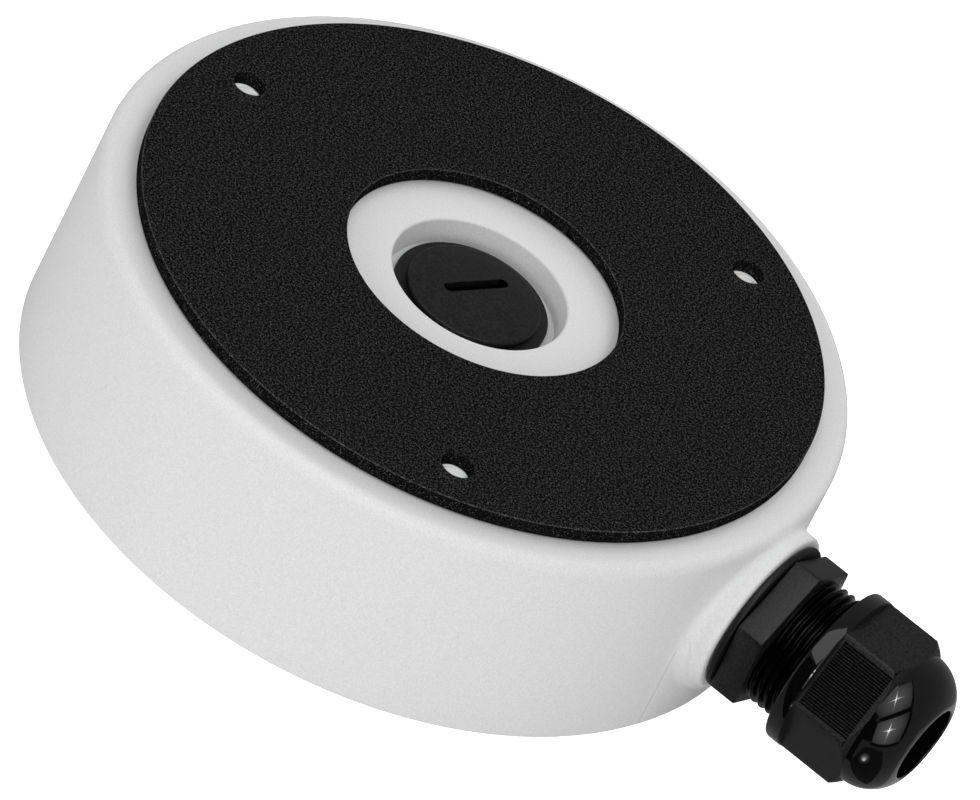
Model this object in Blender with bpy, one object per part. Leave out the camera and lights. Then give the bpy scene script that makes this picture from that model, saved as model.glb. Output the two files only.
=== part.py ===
"""Ceiling junction box for a surveillance camera.

A round die-cast housing with a foam base gasket, a blanking plug in the base entry,
a nylon cable gland in the side boss, and a recessed cover plate that carries the camera.
Metres, +Z up towards the ceiling, gland along +X.
The origin is the centre of the mounting plane, which is the outer face of the foam gasket.
Heights called z in the functions are measured up from the housing's rim.
Run with: blender --background --python part.py
"""
import math

import bmesh
import bpy
from mathutils import Matrix, Vector

# Clearances and small edges
SEAT_GAP = 0.0003
RUN_GAP = 0.0003
FIT_GAP = 0.0004
EDGE_BREAK = 0.0005
CUT_PAST = 0.0020
ROW_STEP = 0.00005

# Housing, a die-cast cup with its open side down
BODY_R = 0.0660
DRAFT = 0.0004
EDGE_R = 0.0021
WALL_T = 0.0033
PLATE_T = 0.0032
INNER_FILLET_R = 0.0020
RIM_T = 0.0027
LEDGE_W = 0.0024
LEDGE_H = 0.0025

# Foam gasket on the mounting face, and the ceiling screws' holes
GASKET_T = 0.0024
GASKET_INSET = 0.0038
GASKET_IN_R = 0.0242
HOLE_COUNT = 3
HOLE_FIRST_DEG = 60.0
HOLE_INSET = 0.0085
HOLE_R = 0.0025
GASKET_HOLE_R = 0.0028

# Base entry with its counterbore, and the plug in it
ENTRY_THREAD_R = 0.0099
COUNTERBORE_DEPTH = 0.0049
ENTRY_LAND_T = 0.0072
ENTRY_WALL_T = 0.0033
PLUG_LIP_W = 0.0017
PLUG_HEAD_T = 0.00110
PLUG_END_OUT = 0.0012
PLUG_WALL_T = 0.0027
PLUG_SEAL_W = 0.0036
PLUG_SEAL_ROOM = 0.0018
PLUG_SEAL_T = 0.00100
SLOT_L = 0.0125
SLOT_W = 0.0018
SLOT_D = 0.0012
SLOT_DEG = 64.6
SLOT_ALONG = 0.0012
SLOT_ACROSS = 0.0018

# Side boss for the gland, the swell of the wall round it and the flat pad below it
GLAND_ROOM = 0.0017
BOSS_LAND_W = 0.0012
BOSS_PROUD = 0.0023
BOSS_DEPTH = 0.0075
BOSS_NECK_IN = 0.0017
FLARE_H = 0.0013
FLARE_W = 0.0080
FLARE_FADE = 0.0040
PAD_MARGIN = 0.0016
PAD_PROUD = 0.00035
NEAR_DEG = 26.0

# Cable gland
THREAD_PITCH = 0.0015
THREAD_DEPTH = 0.0010
THREAD_RELIEF = 0.0002
THREAD_ROOM = 0.0003
WASHER_T = 0.0010
WASHER_W = 0.0041
FLANGE_T = 0.0050
FLANGE_CHAMFER = 0.0003
FLANGE_TURN_DEG = 97.2
ENTRY_END_OUT = 0.0012
CLAMP_STEP = 0.0019
CLAMP_THREAD_L = 0.0113
GLAND_BORE_R = 0.0070
GLAND_STEP_X = 0.0015
GLAND_WALL_T = 0.0018
CLAW_T = 0.0016
CLAW_INSET = 0.0010
CLAW_WALL_T = 0.0011
CLAW_BEND_L = 0.0020
CLAW_TIP_IN = 0.0003
CLAW_FINGERS = 9
CLAW_SLIT_W = 0.0008
INSERT_WALL_T = 0.0034
INSERT_TIP_BACK = 0.0009
INSERT_TAPER = 0.0014

# Domed nut
NUT_WALL_T = 0.0005
NUT_STANDOFF = 0.00655
NUT_COLLAR_L = 0.0029
NUT_FLATS_L = 0.0102
NUT_TURN_DEG = 116.5
NUT_DOME_L = 0.0083
NUT_MOUTH_R = 0.0068
NUT_MOUTH_LIP = 0.0018
NUT_CONE_L = 0.0068
NUT_CONE_END = 0.0032
RIB_COUNT = 25
RIB_PITCH = 0.00050
RIB_DEPTH = 0.00025
RIB_L = 0.0090

# Cover plate, recessed in the rim, its seal and its screws
COVER_T = 0.0030
COVER_HOLE_R = 0.0130
COLLAR_H = 0.0018
COLLAR_W = 0.0022
SEAL_W = 0.0014
SEAL_T = 0.0015
CAMERA_PCD_R = 0.0360
CAMERA_HOLES = 3
CAMERA_FIRST_DEG = 30.0
CAMERA_HOLE_R = 0.0017
CAMERA_BOSS_T = 0.0019
CAMERA_BOSS_H = 0.0050
COVER_SCREWS = 4
COVER_SCREW_FIRST_DEG = 45.0
SCREW_R = 0.0019
SCREW_HEAD_W = 0.0019
SCREW_HEAD_T = 0.0022
SCREW_SINK = 0.0004
SCREW_L = 0.0140
RECESS_L = 0.0038
RECESS_W = 0.0008
RECESS_D = 0.0010
POST_WALL_T = 0.0023
POST_ROOM = 0.0009
RETAINER_W = 0.0017
RETAINER_T = 0.0009

# Earth terminal inside the base
EARTH_PCD_R = 0.0386
EARTH_DEG = 148.8
EARTH_POST_T = 0.0027
EARTH_POST_H = 0.0028
EARTH_HEAD_W = 0.0017
EARTH_HEAD_T = 0.0024
EARTH_SCREW_L = 0.0060
EARTH_WASHER_W = 0.0026
EARTH_WASHER_T = 0.0008
EARTH_TEETH = 8
EARTH_TOOTH_D = 0.0007

# Derived radii
TOP_R = BODY_R - DRAFT
INNER_R = BODY_R - WALL_T
RIM_IN_R = BODY_R - RIM_T
LEDGE_R = RIM_IN_R - LEDGE_W
GASKET_R = TOP_R - EDGE_R - GASKET_INSET
HOLE_PCD_R = GASKET_R - HOLE_INSET
ENTRY_HOLE_R = ENTRY_THREAD_R + FIT_GAP
PLUG_HEAD_R = ENTRY_THREAD_R + PLUG_LIP_W
PLUG_SEAL_R = ENTRY_THREAD_R + PLUG_SEAL_W
COUNTERBORE_R = PLUG_SEAL_R + PLUG_SEAL_ROOM
ENTRY_CUP_R = COUNTERBORE_R + ENTRY_WALL_T
WASHER_R = ENTRY_THREAD_R + WASHER_W
BOSS_R = WASHER_R + BOSS_LAND_W
BOSS_NECK_R = BOSS_R - BOSS_NECK_IN
PAD_HALF_W = BOSS_R + PAD_MARGIN
POST_R = SCREW_R + POST_WALL_T
COVER_SCREW_PCD_R = LEDGE_R - POST_R - POST_ROOM
CLAMP_CREST_R = ENTRY_THREAD_R + CLAMP_STEP
GLAND_SEAT_R = CLAMP_CREST_R - THREAD_DEPTH - GLAND_WALL_T
INSERT_R = GLAND_SEAT_R - FIT_GAP
INSERT_BORE_R = INSERT_R - INSERT_WALL_T
NUT_BORE_R = CLAMP_CREST_R + THREAD_ROOM
NUT_FLAT_R = NUT_BORE_R + NUT_WALL_T
NUT_CORNER_R = NUT_FLAT_R / math.cos(math.pi / 6.0)
NUT_CONE_IN_R = NUT_MOUTH_R + NUT_MOUTH_LIP

# Derived heights above the rim, and the rim's own height
SHOULDER_Z = COVER_T + SEAL_T + 2.0 * SEAT_GAP
GLAND_Z = SHOULDER_Z + BOSS_NECK_R + GLAND_ROOM
BODY_H = GLAND_Z + BOSS_R + EDGE_R
RIM_Z = -(BODY_H + SEAT_GAP + GASKET_T)
SEAT_Z = BODY_H - COUNTERBORE_DEPTH
ENTRY_END_Z = SEAT_Z - ENTRY_LAND_T
PLATE_Z = BODY_H - PLATE_T
POST_END_Z = COVER_T + RETAINER_T + 3.0 * SEAT_GAP

# Derived places along the gland
BOSS_FACE_X = BODY_R + BOSS_PROUD
BOSS_INNER_X = BODY_R - BOSS_DEPTH
WASHER_X = BOSS_FACE_X + SEAT_GAP
FLANGE_X = WASHER_X + WASHER_T + SEAT_GAP
FLANGE_FACE_X = FLANGE_X + FLANGE_T
CLAMP_END_X = FLANGE_FACE_X + CLAMP_THREAD_L
NUT_REAR_X = FLANGE_FACE_X + NUT_STANDOFF
NUT_FLATS_X = NUT_REAR_X + NUT_COLLAR_L
NUT_DOME_X = NUT_FLATS_X + NUT_FLATS_L
NUT_FRONT_X = NUT_DOME_X + NUT_DOME_L
CONE_END_X = NUT_DOME_X + NUT_CONE_END
CLAW_TIP_X = NUT_DOME_X + CLAW_TIP_IN

# Materials


def material(name, colour, rough, metal):
    mat = bpy.data.materials.new(name)
    mat.use_nodes = True
    shader = mat.node_tree.nodes["Principled BSDF"]
    shader.inputs["Base Color"].default_value = (*colour, 1.0)
    shader.inputs["Roughness"].default_value = rough
    shader.inputs["Metallic"].default_value = metal
    return mat


def white_powder_coat():
    return material("white_powder_coat", (0.74, 0.74, 0.73), 0.45, 0.0)


def black_foam():
    return material("black_foam", (0.013, 0.013, 0.014), 0.95, 0.0)


def black_nylon():
    return material("black_nylon", (0.022, 0.022, 0.023), 0.38, 0.0)


def black_rubber():
    return material("black_rubber", (0.012, 0.012, 0.012), 0.7, 0.0)


def stainless_steel():
    return material("stainless_steel", (0.56, 0.55, 0.53), 0.32, 1.0)


def natural_nylon():
    return material("natural_nylon", (0.62, 0.60, 0.54), 0.5, 0.0)


# Objects and booleans


def clear_scene():
    for ob in list(bpy.data.objects):
        bpy.data.objects.remove(ob, do_unlink=True)


def add_object(name, bm, mat=None, location=(0.0, 0.0, 0.0), parent=None):
    bmesh.ops.recalc_face_normals(bm, faces=bm.faces)
    mesh = bpy.data.meshes.new(name)
    bm.to_mesh(mesh)
    bm.free()
    mesh.shade_smooth()
    mesh.set_sharp_from_angle(angle=math.radians(32.0))
    if mat is not None:
        mesh.materials.append(mat)
    ob = bpy.data.objects.new(name, mesh)
    bpy.context.scene.collection.objects.link(ob)
    ob.location = location
    ob.parent = parent
    return ob


def boolean(ob, tool, operation):
    tool.hide_render = True
    tool.display_type = "WIRE"
    mod = ob.modifiers.new(operation.lower() + "_" + tool.name, "BOOLEAN")
    mod.operation = operation
    mod.solver = "EXACT"
    mod.object = tool


def cut(ob, tool):
    boolean(ob, tool, "DIFFERENCE")


def join(ob, tool):
    boolean(ob, tool, "UNION")


def gland_axis():
    """Empty on the gland's axis, turned so that what lies along its Z runs along +X."""
    ob = bpy.data.objects.new("gland_axis", None)
    bpy.context.scene.collection.objects.link(ob)
    ob.location = (0.0, 0.0, RIM_Z + GLAND_Z)
    ob.rotation_euler = (0.0, math.radians(90.0), 0.0)
    return ob


# Shapes


def angles(count, shift=0.0):
    """Equal steps round a circle. shift, in steps, keeps a cutter's corners off the body's own."""
    return [2.0 * math.pi * (i + shift) / count for i in range(count)]


def arc(cx, cz, radius, start_deg, end_deg, steps):
    """Points (r, z) on an arc, both ends included."""
    out = []
    for i in range(steps + 1):
        a = math.radians(start_deg + (end_deg - start_deg) * i / steps)
        out.append((cx + radius * math.cos(a), cz + radius * math.sin(a)))
    return out


def lathe(profile, turns, closed=False, radius_at=None):
    """Turns (r, z) points about Z. A closed profile gives a ring, an open one a body with flat ends."""
    bm = bmesh.new()
    rows = []
    for index, (r, z) in enumerate(profile):
        if r == 0.0:
            rows.append([bm.verts.new((0.0, 0.0, z))])
            continue
        row = []
        for a in turns:
            rr = radius_at(index, r, z, a) if radius_at else r
            row.append(bm.verts.new((rr * math.cos(a), rr * math.sin(a), z)))
        rows.append(row)
    pairs = list(zip(rows[:-1], rows[1:]))
    if closed:
        pairs.append((rows[-1], rows[0]))
    for low, high in pairs:
        for i in range(len(turns)):
            j = (i + 1) % len(turns)
            if len(low) == 1:
                bm.faces.new((low[0], high[j], high[i]))
            elif len(high) == 1:
                bm.faces.new((low[i], low[j], high[0]))
            else:
                bm.faces.new((low[i], low[j], high[j], high[i]))
    if not closed:
        for row in (rows[0], rows[-1]):
            if len(row) > 1:
                bm.faces.new(row)
    return bm


def moved(bm, x, y):
    bmesh.ops.translate(bm, verts=bm.verts, vec=(x, y, 0.0))
    return bm


def turned(bm, angle):
    bmesh.ops.rotate(bm, verts=bm.verts, matrix=Matrix.Rotation(angle, 3, "Z"))
    return bm


def cylinder(radius, z0, z1, count, at=(0.0, 0.0)):
    return moved(lathe([(radius, z0), (radius, z1)], angles(count, 0.37)), *at)


def ring(inner, outer, z0, z1, count):
    return lathe([(inner, z0), (inner, z1), (outer, z1), (outer, z0)], angles(count), closed=True)


def prism(outline, z0, z1):
    """Closed block with an (x, y) outline."""
    bm = bmesh.new()
    low = [bm.verts.new((x, y, z0)) for x, y in outline]
    high = [bm.verts.new((x, y, z1)) for x, y in outline]
    for i in range(len(outline)):
        j = (i + 1) % len(outline)
        bm.faces.new((low[i], low[j], high[j], high[i]))
    bm.faces.new(low)
    bm.faces.new(high)
    return bm


def merge(parts):
    """Puts separate closed shapes in one mesh, for a tool of several pieces."""
    out = bmesh.new()
    for part in parts:
        bmesh.ops.recalc_face_normals(part, faces=part.faces)
        mesh = bpy.data.meshes.new("part")
        part.to_mesh(mesh)
        part.free()
        out.from_mesh(mesh)
        bpy.data.meshes.remove(mesh)
    return out


def polar(radius, deg):
    a = math.radians(deg)
    return radius * math.cos(a), radius * math.sin(a)


def spaced(count, first_deg, radius):
    """Centres (x, y) spread evenly on a circle."""
    return [polar(radius, first_deg + 360.0 * i / count) for i in range(count)]


def threaded_rod(root_r, crest_r, z0, z1, pitch, count):
    """Closed rod along Z whose side is one right-hand helical ridge."""
    bm = bmesh.new()
    radii = (root_r, crest_r)
    turns = int((z1 - z0) / pitch - 1.35)
    start = z0 + (z1 - z0 - (turns + 1) * pitch) / 2.0
    last = 2 * turns
    grid = {}

    def place(row, i):
        z = start + pitch * (row / 2.0 + i / count)
        a = 2.0 * math.pi * i / count
        return bm.verts.new((radii[row % 2] * math.cos(a), radii[row % 2] * math.sin(a), z))

    for row in range(last + 1):
        for i in range(count):
            grid[row, i] = place(row, i)
    for row in range(last + 1):
        grid[row, count] = grid[row + 2, 0] if row + 2 <= last else place(row, count)
    for row in range(last):
        for i in range(count):
            bm.faces.new((grid[row, i], grid[row, i + 1], grid[row + 1, i + 1], grid[row + 1, i]))
    end_r = root_r - THREAD_RELIEF
    low = [bm.verts.new((end_r * math.cos(a), end_r * math.sin(a), z0)) for a in angles(count)]
    high = [bm.verts.new((end_r * math.cos(a), end_r * math.sin(a), z1)) for a in angles(count)]
    for i in range(count):
        j = (i + 1) % count
        bm.faces.new((low[i], low[j], grid[0, i + 1], grid[0, i]))
        bm.faces.new((grid[last, i], grid[last, i + 1], high[j], high[i]))
    bm.faces.new([low[0]] + [grid[row, 0] for row in range(3)])
    bm.faces.new([high[0]] + [grid[row, count] for row in range(last - 2, last + 1)])
    bm.faces.new(low)
    bm.faces.new(high)
    return bm


# Housing


def wall_columns():
    """Angles round the housing: close together across the boss and wider round the rest."""
    near = [math.radians(NEAR_DEG * (i / 10.0 - 1.0)) for i in range(21)]
    pad = math.asin(PAD_HALF_W / BODY_R)
    near = [a for a in near if abs(abs(a) - pad) > math.radians(0.8)]
    near += [side * (pad + step) for side in (-1, 1) for step in (0.0, math.radians(0.35))]
    far_step = (360.0 - 2.0 * NEAR_DEG) / 40.0
    return sorted(near) + [math.radians(NEAR_DEG + far_step * i) for i in range(1, 40)]


def swell(y, z):
    """How far the casting stands out around the boss, y across and z above the rim."""
    t = min(max((math.hypot(y, z - GLAND_Z) - BOSS_R) / FLARE_W, 0.0), 1.0)
    fade = min(max((BODY_H - FLARE_H - z) / FLARE_FADE, 0.0), 1.0)
    flare = FLARE_H * (1.0 - t) ** 2 * fade * fade * (3.0 - 2.0 * fade)
    below = min(max((GLAND_Z - z) / FLARE_FADE + 0.5, 0.0), 1.0)
    pad = PAD_PROUD * below if abs(y) < PAD_HALF_W + ROW_STEP else 0.0
    return max(flare, pad)


def cup_profile():
    """Half section of the cup as (r, z), and the index range of its outer wall."""
    pts = [(ENTRY_HOLE_R, ENTRY_END_Z), (ENTRY_HOLE_R, SEAT_Z), (COUNTERBORE_R - FIT_GAP, SEAT_Z)]
    pts += arc(COUNTERBORE_R + EDGE_BREAK, BODY_H - EDGE_BREAK, EDGE_BREAK, 180.0, 90.0, 2)
    first = len(pts)
    pts += arc(TOP_R - EDGE_R, BODY_H - EDGE_R, EDGE_R, 90.0, 0.0, 4)
    wall_top = BODY_H - EDGE_R
    for i in range(1, 8):
        z = wall_top * (1.0 - i / 8.0)
        pts.append((BODY_R - DRAFT * z / BODY_H, z))
    pts.append((BODY_R, FIT_GAP))
    last = len(pts)
    pts += [(BODY_R - FIT_GAP, 0.0), (RIM_IN_R, 0.0), (RIM_IN_R, SHOULDER_Z), (LEDGE_R, SHOULDER_Z)]
    pts += [(LEDGE_R, SHOULDER_Z + LEDGE_H), (INNER_R, SHOULDER_Z + 2.0 * LEDGE_H)]
    pts += arc(INNER_R - DRAFT - INNER_FILLET_R, PLATE_Z - INNER_FILLET_R, INNER_FILLET_R, 0.0, 90.0, 2)
    corner = INNER_FILLET_R / 2.0
    pts += [(ENTRY_CUP_R + corner, PLATE_Z), (ENTRY_CUP_R, PLATE_Z - corner), (ENTRY_CUP_R, ENTRY_END_Z)]
    return pts, range(first, last)


def drop_far_rows(bm):
    """Away from the gland the wall is straight, so its middle rows are not needed."""
    near_x = BODY_R * math.cos(math.radians(NEAR_DEG)) + DRAFT
    spare = []
    for edge in bm.edges:
        a, b = (v.co for v in edge.verts)
        level = abs(a.z - b.z) < 1e-6 and EDGE_BREAK < a.z < BODY_H - EDGE_R - EDGE_BREAK
        outside = min(a.xy.length, b.xy.length) > (INNER_R + BODY_R) / 2.0
        if level and outside and max(a.x, b.x) < near_x:
            spare.append(edge)
    bmesh.ops.dissolve_edges(bm, edges=spare, use_verts=True)


def box_body(mat, axis):
    profile, outer = cup_profile()

    def radius_at(index, r, z, a):
        swells = index in outer and math.cos(a) > 0.0
        return r + swell(r * math.sin(a), z) if swells else r

    cup = lathe(profile, wall_columns(), closed=True, radius_at=radius_at)
    drop_far_rows(cup)
    rim = (0.0, 0.0, RIM_Z)
    body = add_object("box_body", cup, mat, rim)
    join(body, add_object("tool_gland_boss", gland_boss(), parent=axis))
    join(body, add_object("tool_screw_posts", screw_posts(), location=rim))
    join(body, add_object("tool_earth_post", earth_post(), location=rim))
    cut(body, add_object("tool_mounting_holes", mounting_holes(), location=rim))
    bore = cylinder(ENTRY_HOLE_R, BOSS_INNER_X - CUT_PAST, BOSS_FACE_X + CUT_PAST, 24)
    cut(body, add_object("tool_gland_bore", bore, parent=axis))
    cut(body, add_object("tool_screw_pilots", screw_pilots(), location=rim))


def gland_boss():
    """Round land that the gland's washer seals on, running in through the wall."""
    inside_wall = INNER_R - EDGE_BREAK
    profile = [(0.0, BOSS_INNER_X), (BOSS_NECK_R, BOSS_INNER_X), (BOSS_NECK_R, inside_wall - FIT_GAP)]
    profile += [(BOSS_R, inside_wall), (BOSS_R, BOSS_FACE_X - 2.0 * EDGE_BREAK)]
    profile += arc(BOSS_R - EDGE_BREAK, BOSS_FACE_X - EDGE_BREAK, EDGE_BREAK, 10.0, 90.0, 3)
    profile += [(0.0, BOSS_FACE_X)]
    return lathe(profile, angles(36, 0.5))


def screw_posts():
    at = spaced(COVER_SCREWS, COVER_SCREW_FIRST_DEG, COVER_SCREW_PCD_R)
    return merge([cylinder(POST_R, POST_END_Z, PLATE_Z + PLATE_T / 2.0, 16, xy) for xy in at])


def earth_post():
    low = PLATE_Z - EARTH_POST_H
    return cylinder(SCREW_R + EARTH_POST_T, low, PLATE_Z + PLATE_T / 2.0, 18, polar(EARTH_PCD_R, EARTH_DEG))


def screw_pilots():
    """Blind holes for the cover screws and the earth screw."""
    hole_r = SCREW_R + RUN_GAP
    top = SCREW_SINK + SCREW_L + 2.0 * EDGE_BREAK
    at = spaced(COVER_SCREWS, COVER_SCREW_FIRST_DEG, COVER_SCREW_PCD_R)
    holes = [cylinder(hole_r, POST_END_Z - CUT_PAST, top, 12, xy) for xy in at]
    low = PLATE_Z - EARTH_POST_H
    deep = low + EARTH_SCREW_L - EARTH_WASHER_T
    holes.append(cylinder(hole_r, low - CUT_PAST, deep, 12, polar(EARTH_PCD_R, EARTH_DEG)))
    return merge(holes)


def mounting_holes():
    at = spaced(HOLE_COUNT, HOLE_FIRST_DEG, HOLE_PCD_R)
    return merge([cylinder(HOLE_R, PLATE_Z - CUT_PAST, BODY_H + CUT_PAST, 18, xy) for xy in at])


def base_gasket(mat):
    gasket = add_object("base_gasket", ring(GASKET_IN_R, GASKET_R, -GASKET_T, 0.0, 56), mat)
    at = spaced(HOLE_COUNT, HOLE_FIRST_DEG, HOLE_PCD_R)
    holes = merge([cylinder(GASKET_HOLE_R, -GASKET_T - CUT_PAST, CUT_PAST, 20, xy) for xy in at])
    cut(gasket, add_object("tool_gasket_holes", holes))


# Base entry plug


def plug_seal(mat):
    z = RIM_Z + SEAT_Z + SEAT_GAP
    rim = PLUG_SEAL_R - EDGE_BREAK / 2.0
    profile = [(ENTRY_HOLE_R, 0.0), (ENTRY_HOLE_R, PLUG_SEAL_T), (rim, PLUG_SEAL_T)]
    profile += [(PLUG_SEAL_R, PLUG_SEAL_T - EDGE_BREAK / 2.0), (PLUG_SEAL_R, 0.0)]
    add_object("plug_seal", lathe(profile, angles(32), closed=True), mat, (0.0, 0.0, z))


def blanking_plug(mat):
    """Slotted head on a hollow threaded shank. Its local origin is the underside of the head."""
    at = (0.0, 0.0, RIM_Z + SEAT_Z + 2.0 * SEAT_GAP + PLUG_SEAL_T)
    end = -(PLUG_SEAL_T + 2.0 * SEAT_GAP + ENTRY_LAND_T + PLUG_END_OUT)
    floor = -PLUG_HEAD_T
    core_r = ENTRY_THREAD_R - PLUG_WALL_T
    profile = [(0.0, floor), (core_r, floor), (core_r, end), (ENTRY_THREAD_R - EDGE_BREAK, end)]
    profile += [(ENTRY_THREAD_R, end + EDGE_BREAK), (ENTRY_THREAD_R, 0.0)]
    profile += [(PLUG_HEAD_R - EDGE_BREAK / 2.0, 0.0), (PLUG_HEAD_R, EDGE_BREAK / 2.0)]
    profile += arc(PLUG_HEAD_R - EDGE_BREAK, PLUG_HEAD_T - EDGE_BREAK, EDGE_BREAK, 0.0, 90.0, 3)
    profile += [(0.0, PLUG_HEAD_T)]
    plug = add_object("blanking_plug", lathe(profile, angles(36)), mat, at)
    cut(plug, add_object("tool_plug_slot", driver_slot(), location=at))


def driver_slot():
    """Straight slot with round ends, cut down into the head a little off its centre."""
    end_r = SLOT_W / 2.0
    reach = SLOT_L / 2.0 - end_r
    outline = []
    for side, start_deg in ((1, -90.0), (-1, 90.0)):
        outline += arc(SLOT_ALONG + side * reach, SLOT_ACROSS, end_r, start_deg, start_deg + 180.0, 6)
    return turned(prism(outline, PLUG_HEAD_T - SLOT_D, PLUG_HEAD_T + CUT_PAST), math.radians(SLOT_DEG))


# Cable gland, made along Z and turned to +X by its axis


def round_gland(deg):
    """Angle round the gland, given from +Y towards +Z."""
    return math.radians(deg + 90.0)


def hex_radius(a, corner):
    """Radius of the spanner flats at angle a."""
    side = math.pi / 3.0
    off = (a - corner) % side - side / 2.0
    return NUT_FLAT_R / math.cos(off)


def hex_columns(corner, per_side):
    return [corner + math.pi / 3.0 * i / per_side for i in range(6 * per_side)]


def gland_washer(mat, axis):
    outer_x = WASHER_X + WASHER_T
    edge = EDGE_BREAK / 2.0
    profile = [(ENTRY_HOLE_R, WASHER_X), (ENTRY_HOLE_R, outer_x), (WASHER_R - edge, outer_x)]
    profile += [(WASHER_R, outer_x - edge), (WASHER_R, WASHER_X + edge), (WASHER_R - edge, WASHER_X)]
    add_object("gland_washer", lathe(profile, angles(32), closed=True), mat, parent=axis)


def gland_body(mat, axis):
    """Entry thread, spanner flange and clamping thread in one moulding."""
    root = CLAMP_CREST_R - THREAD_DEPTH
    inside_flange = FLANGE_X + FLANGE_T / 2.0
    clamp = threaded_rod(root, CLAMP_CREST_R, FLANGE_FACE_X - EDGE_BREAK, CLAMP_END_X, THREAD_PITCH, 30)
    body = add_object("gland_body", clamp, mat, parent=axis)
    end = BOSS_INNER_X - ENTRY_END_OUT
    entry = [(0.0, end), (ENTRY_THREAD_R - EDGE_BREAK, end), (ENTRY_THREAD_R, end + EDGE_BREAK)]
    entry += [(ENTRY_THREAD_R, inside_flange), (0.0, inside_flange)]
    join(body, add_object("tool_gland_entry", lathe(entry, angles(24, 0.5)), parent=axis))
    join(body, add_object("tool_gland_flange", hex_flange(), parent=axis))
    step = FLANGE_FACE_X + GLAND_STEP_X
    past = CLAMP_END_X + CUT_PAST
    bore = [(0.0, end - CUT_PAST), (GLAND_BORE_R, end - CUT_PAST), (GLAND_BORE_R, step)]
    bore += [(GLAND_SEAT_R, step + GLAND_STEP_X), (GLAND_SEAT_R, past), (0.0, past)]
    cut(body, add_object("tool_gland_through", lathe(bore, angles(28, 0.37)), parent=axis))


def hex_flange():
    """Spanner flange with a small chamfer round both faces."""
    corner = round_gland(FLANGE_TURN_DEG)
    chamfered = NUT_FLAT_R - FLANGE_CHAMFER
    profile = [(chamfered, FLANGE_X), (NUT_FLAT_R, FLANGE_X + FLANGE_CHAMFER)]
    profile += [(NUT_FLAT_R, FLANGE_FACE_X - FLANGE_CHAMFER), (chamfered, FLANGE_FACE_X)]

    def radius_at(index, r, z, a):
        return hex_radius(a, corner) * r / NUT_FLAT_R

    return lathe(profile, hex_columns(corner, 2), radius_at=radius_at)


def cone_r(x):
    """Radius of the cone inside the dome, which closes the claw."""
    share = min(max((CONE_END_X - x) / NUT_CONE_L, 0.0), 1.0)
    return NUT_CONE_IN_R + (NUT_BORE_R - NUT_CONE_IN_R) * share


def gland_claw(mat, axis):
    """Ring with fingers that the dome bends in on the cable."""
    base = CLAMP_END_X + SEAT_GAP
    root = base + CLAW_T
    bend = CLAW_TIP_X - CLAW_BEND_L
    ring_r = CLAMP_CREST_R - CLAW_INSET
    tip_r = cone_r(CLAW_TIP_X) - FIT_GAP
    profile = [(GLAND_SEAT_R, base), (ring_r - EDGE_BREAK / 2.0, base), (ring_r, root)]
    profile += [(cone_r(bend) - FIT_GAP, bend), (tip_r, CLAW_TIP_X), (tip_r - CLAW_WALL_T, CLAW_TIP_X)]
    profile += [(GLAND_SEAT_R + EDGE_BREAK, root)]
    claw = add_object("gland_claw", lathe(profile, angles(27), closed=True), mat, parent=axis)
    inner, outer, half = INSERT_BORE_R, ring_r + CUT_PAST, CLAW_SLIT_W / 2.0
    slit = [(inner, -half), (outer, -half), (outer, half), (inner, half)]
    slits = [turned(prism(slit, root, CLAW_TIP_X + CUT_PAST), a) for a in angles(CLAW_FINGERS, 0.1)]
    cut(claw, add_object("tool_claw_slits", merge(slits), parent=axis))


def gland_seal_insert(mat, axis):
    """Rubber sleeve that closes on the cable."""
    back = FLANGE_FACE_X + 2.0 * GLAND_STEP_X + 2.0 * SEAT_GAP
    tip = CLAW_TIP_X - INSERT_TIP_BACK
    shoulder = CLAMP_END_X + CLAW_T + EDGE_BREAK
    lead = 2.0 * EDGE_BREAK
    profile = [(INSERT_BORE_R + EDGE_BREAK, back), (INSERT_BORE_R, back + lead)]
    profile += [(INSERT_BORE_R, tip - lead), (INSERT_BORE_R + EDGE_BREAK, tip)]
    profile += [(INSERT_R - INSERT_TAPER, tip), (INSERT_R, shoulder), (INSERT_R, back)]
    add_object("gland_seal_insert", lathe(profile, angles(24), closed=True), mat, parent=axis)


def gland_dome_nut(mat, axis):
    """Clamping nut: round collar, six flats with three ribbed, and a dome round the cable mouth."""
    corner = round_gland(NUT_TURN_DEG)
    collar_end = NUT_FLATS_X + ROW_STEP
    mouth_end = CONE_END_X + 2.0 * EDGE_BREAK
    profile = [(NUT_BORE_R + EDGE_BREAK, NUT_REAR_X), (NUT_CORNER_R - EDGE_BREAK, NUT_REAR_X)]
    profile += [(NUT_CORNER_R, NUT_REAR_X + EDGE_BREAK), (NUT_CORNER_R, NUT_FLATS_X)]
    hex_rows = range(len(profile), len(profile) + 4)
    profile += [(NUT_CORNER_R, collar_end), (NUT_CORNER_R, NUT_DOME_X - EDGE_BREAK / 2.0)]
    profile += [(NUT_FLAT_R + EDGE_BREAK, NUT_DOME_X + 1.4 * EDGE_BREAK)]
    profile += [(NUT_FLAT_R, NUT_DOME_X + 2.0 * EDGE_BREAK)]
    profile += dome_arc()
    profile += [(NUT_MOUTH_R, NUT_FRONT_X - EDGE_BREAK), (NUT_MOUTH_R, mouth_end), (NUT_CONE_IN_R, CONE_END_X)]
    profile += [(NUT_BORE_R, CONE_END_X - NUT_CONE_L), (NUT_BORE_R, NUT_REAR_X + EDGE_BREAK)]

    def radius_at(index, r, z, a):
        return min(r, hex_radius(a, corner)) if index in hex_rows else r

    shape = lathe(profile, hex_columns(corner, 6), closed=True, radius_at=radius_at)
    nut = add_object("gland_dome_nut", shape, mat, parent=axis)
    cut(nut, add_object("tool_nut_ribs", rib_grooves(corner), parent=axis))


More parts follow.
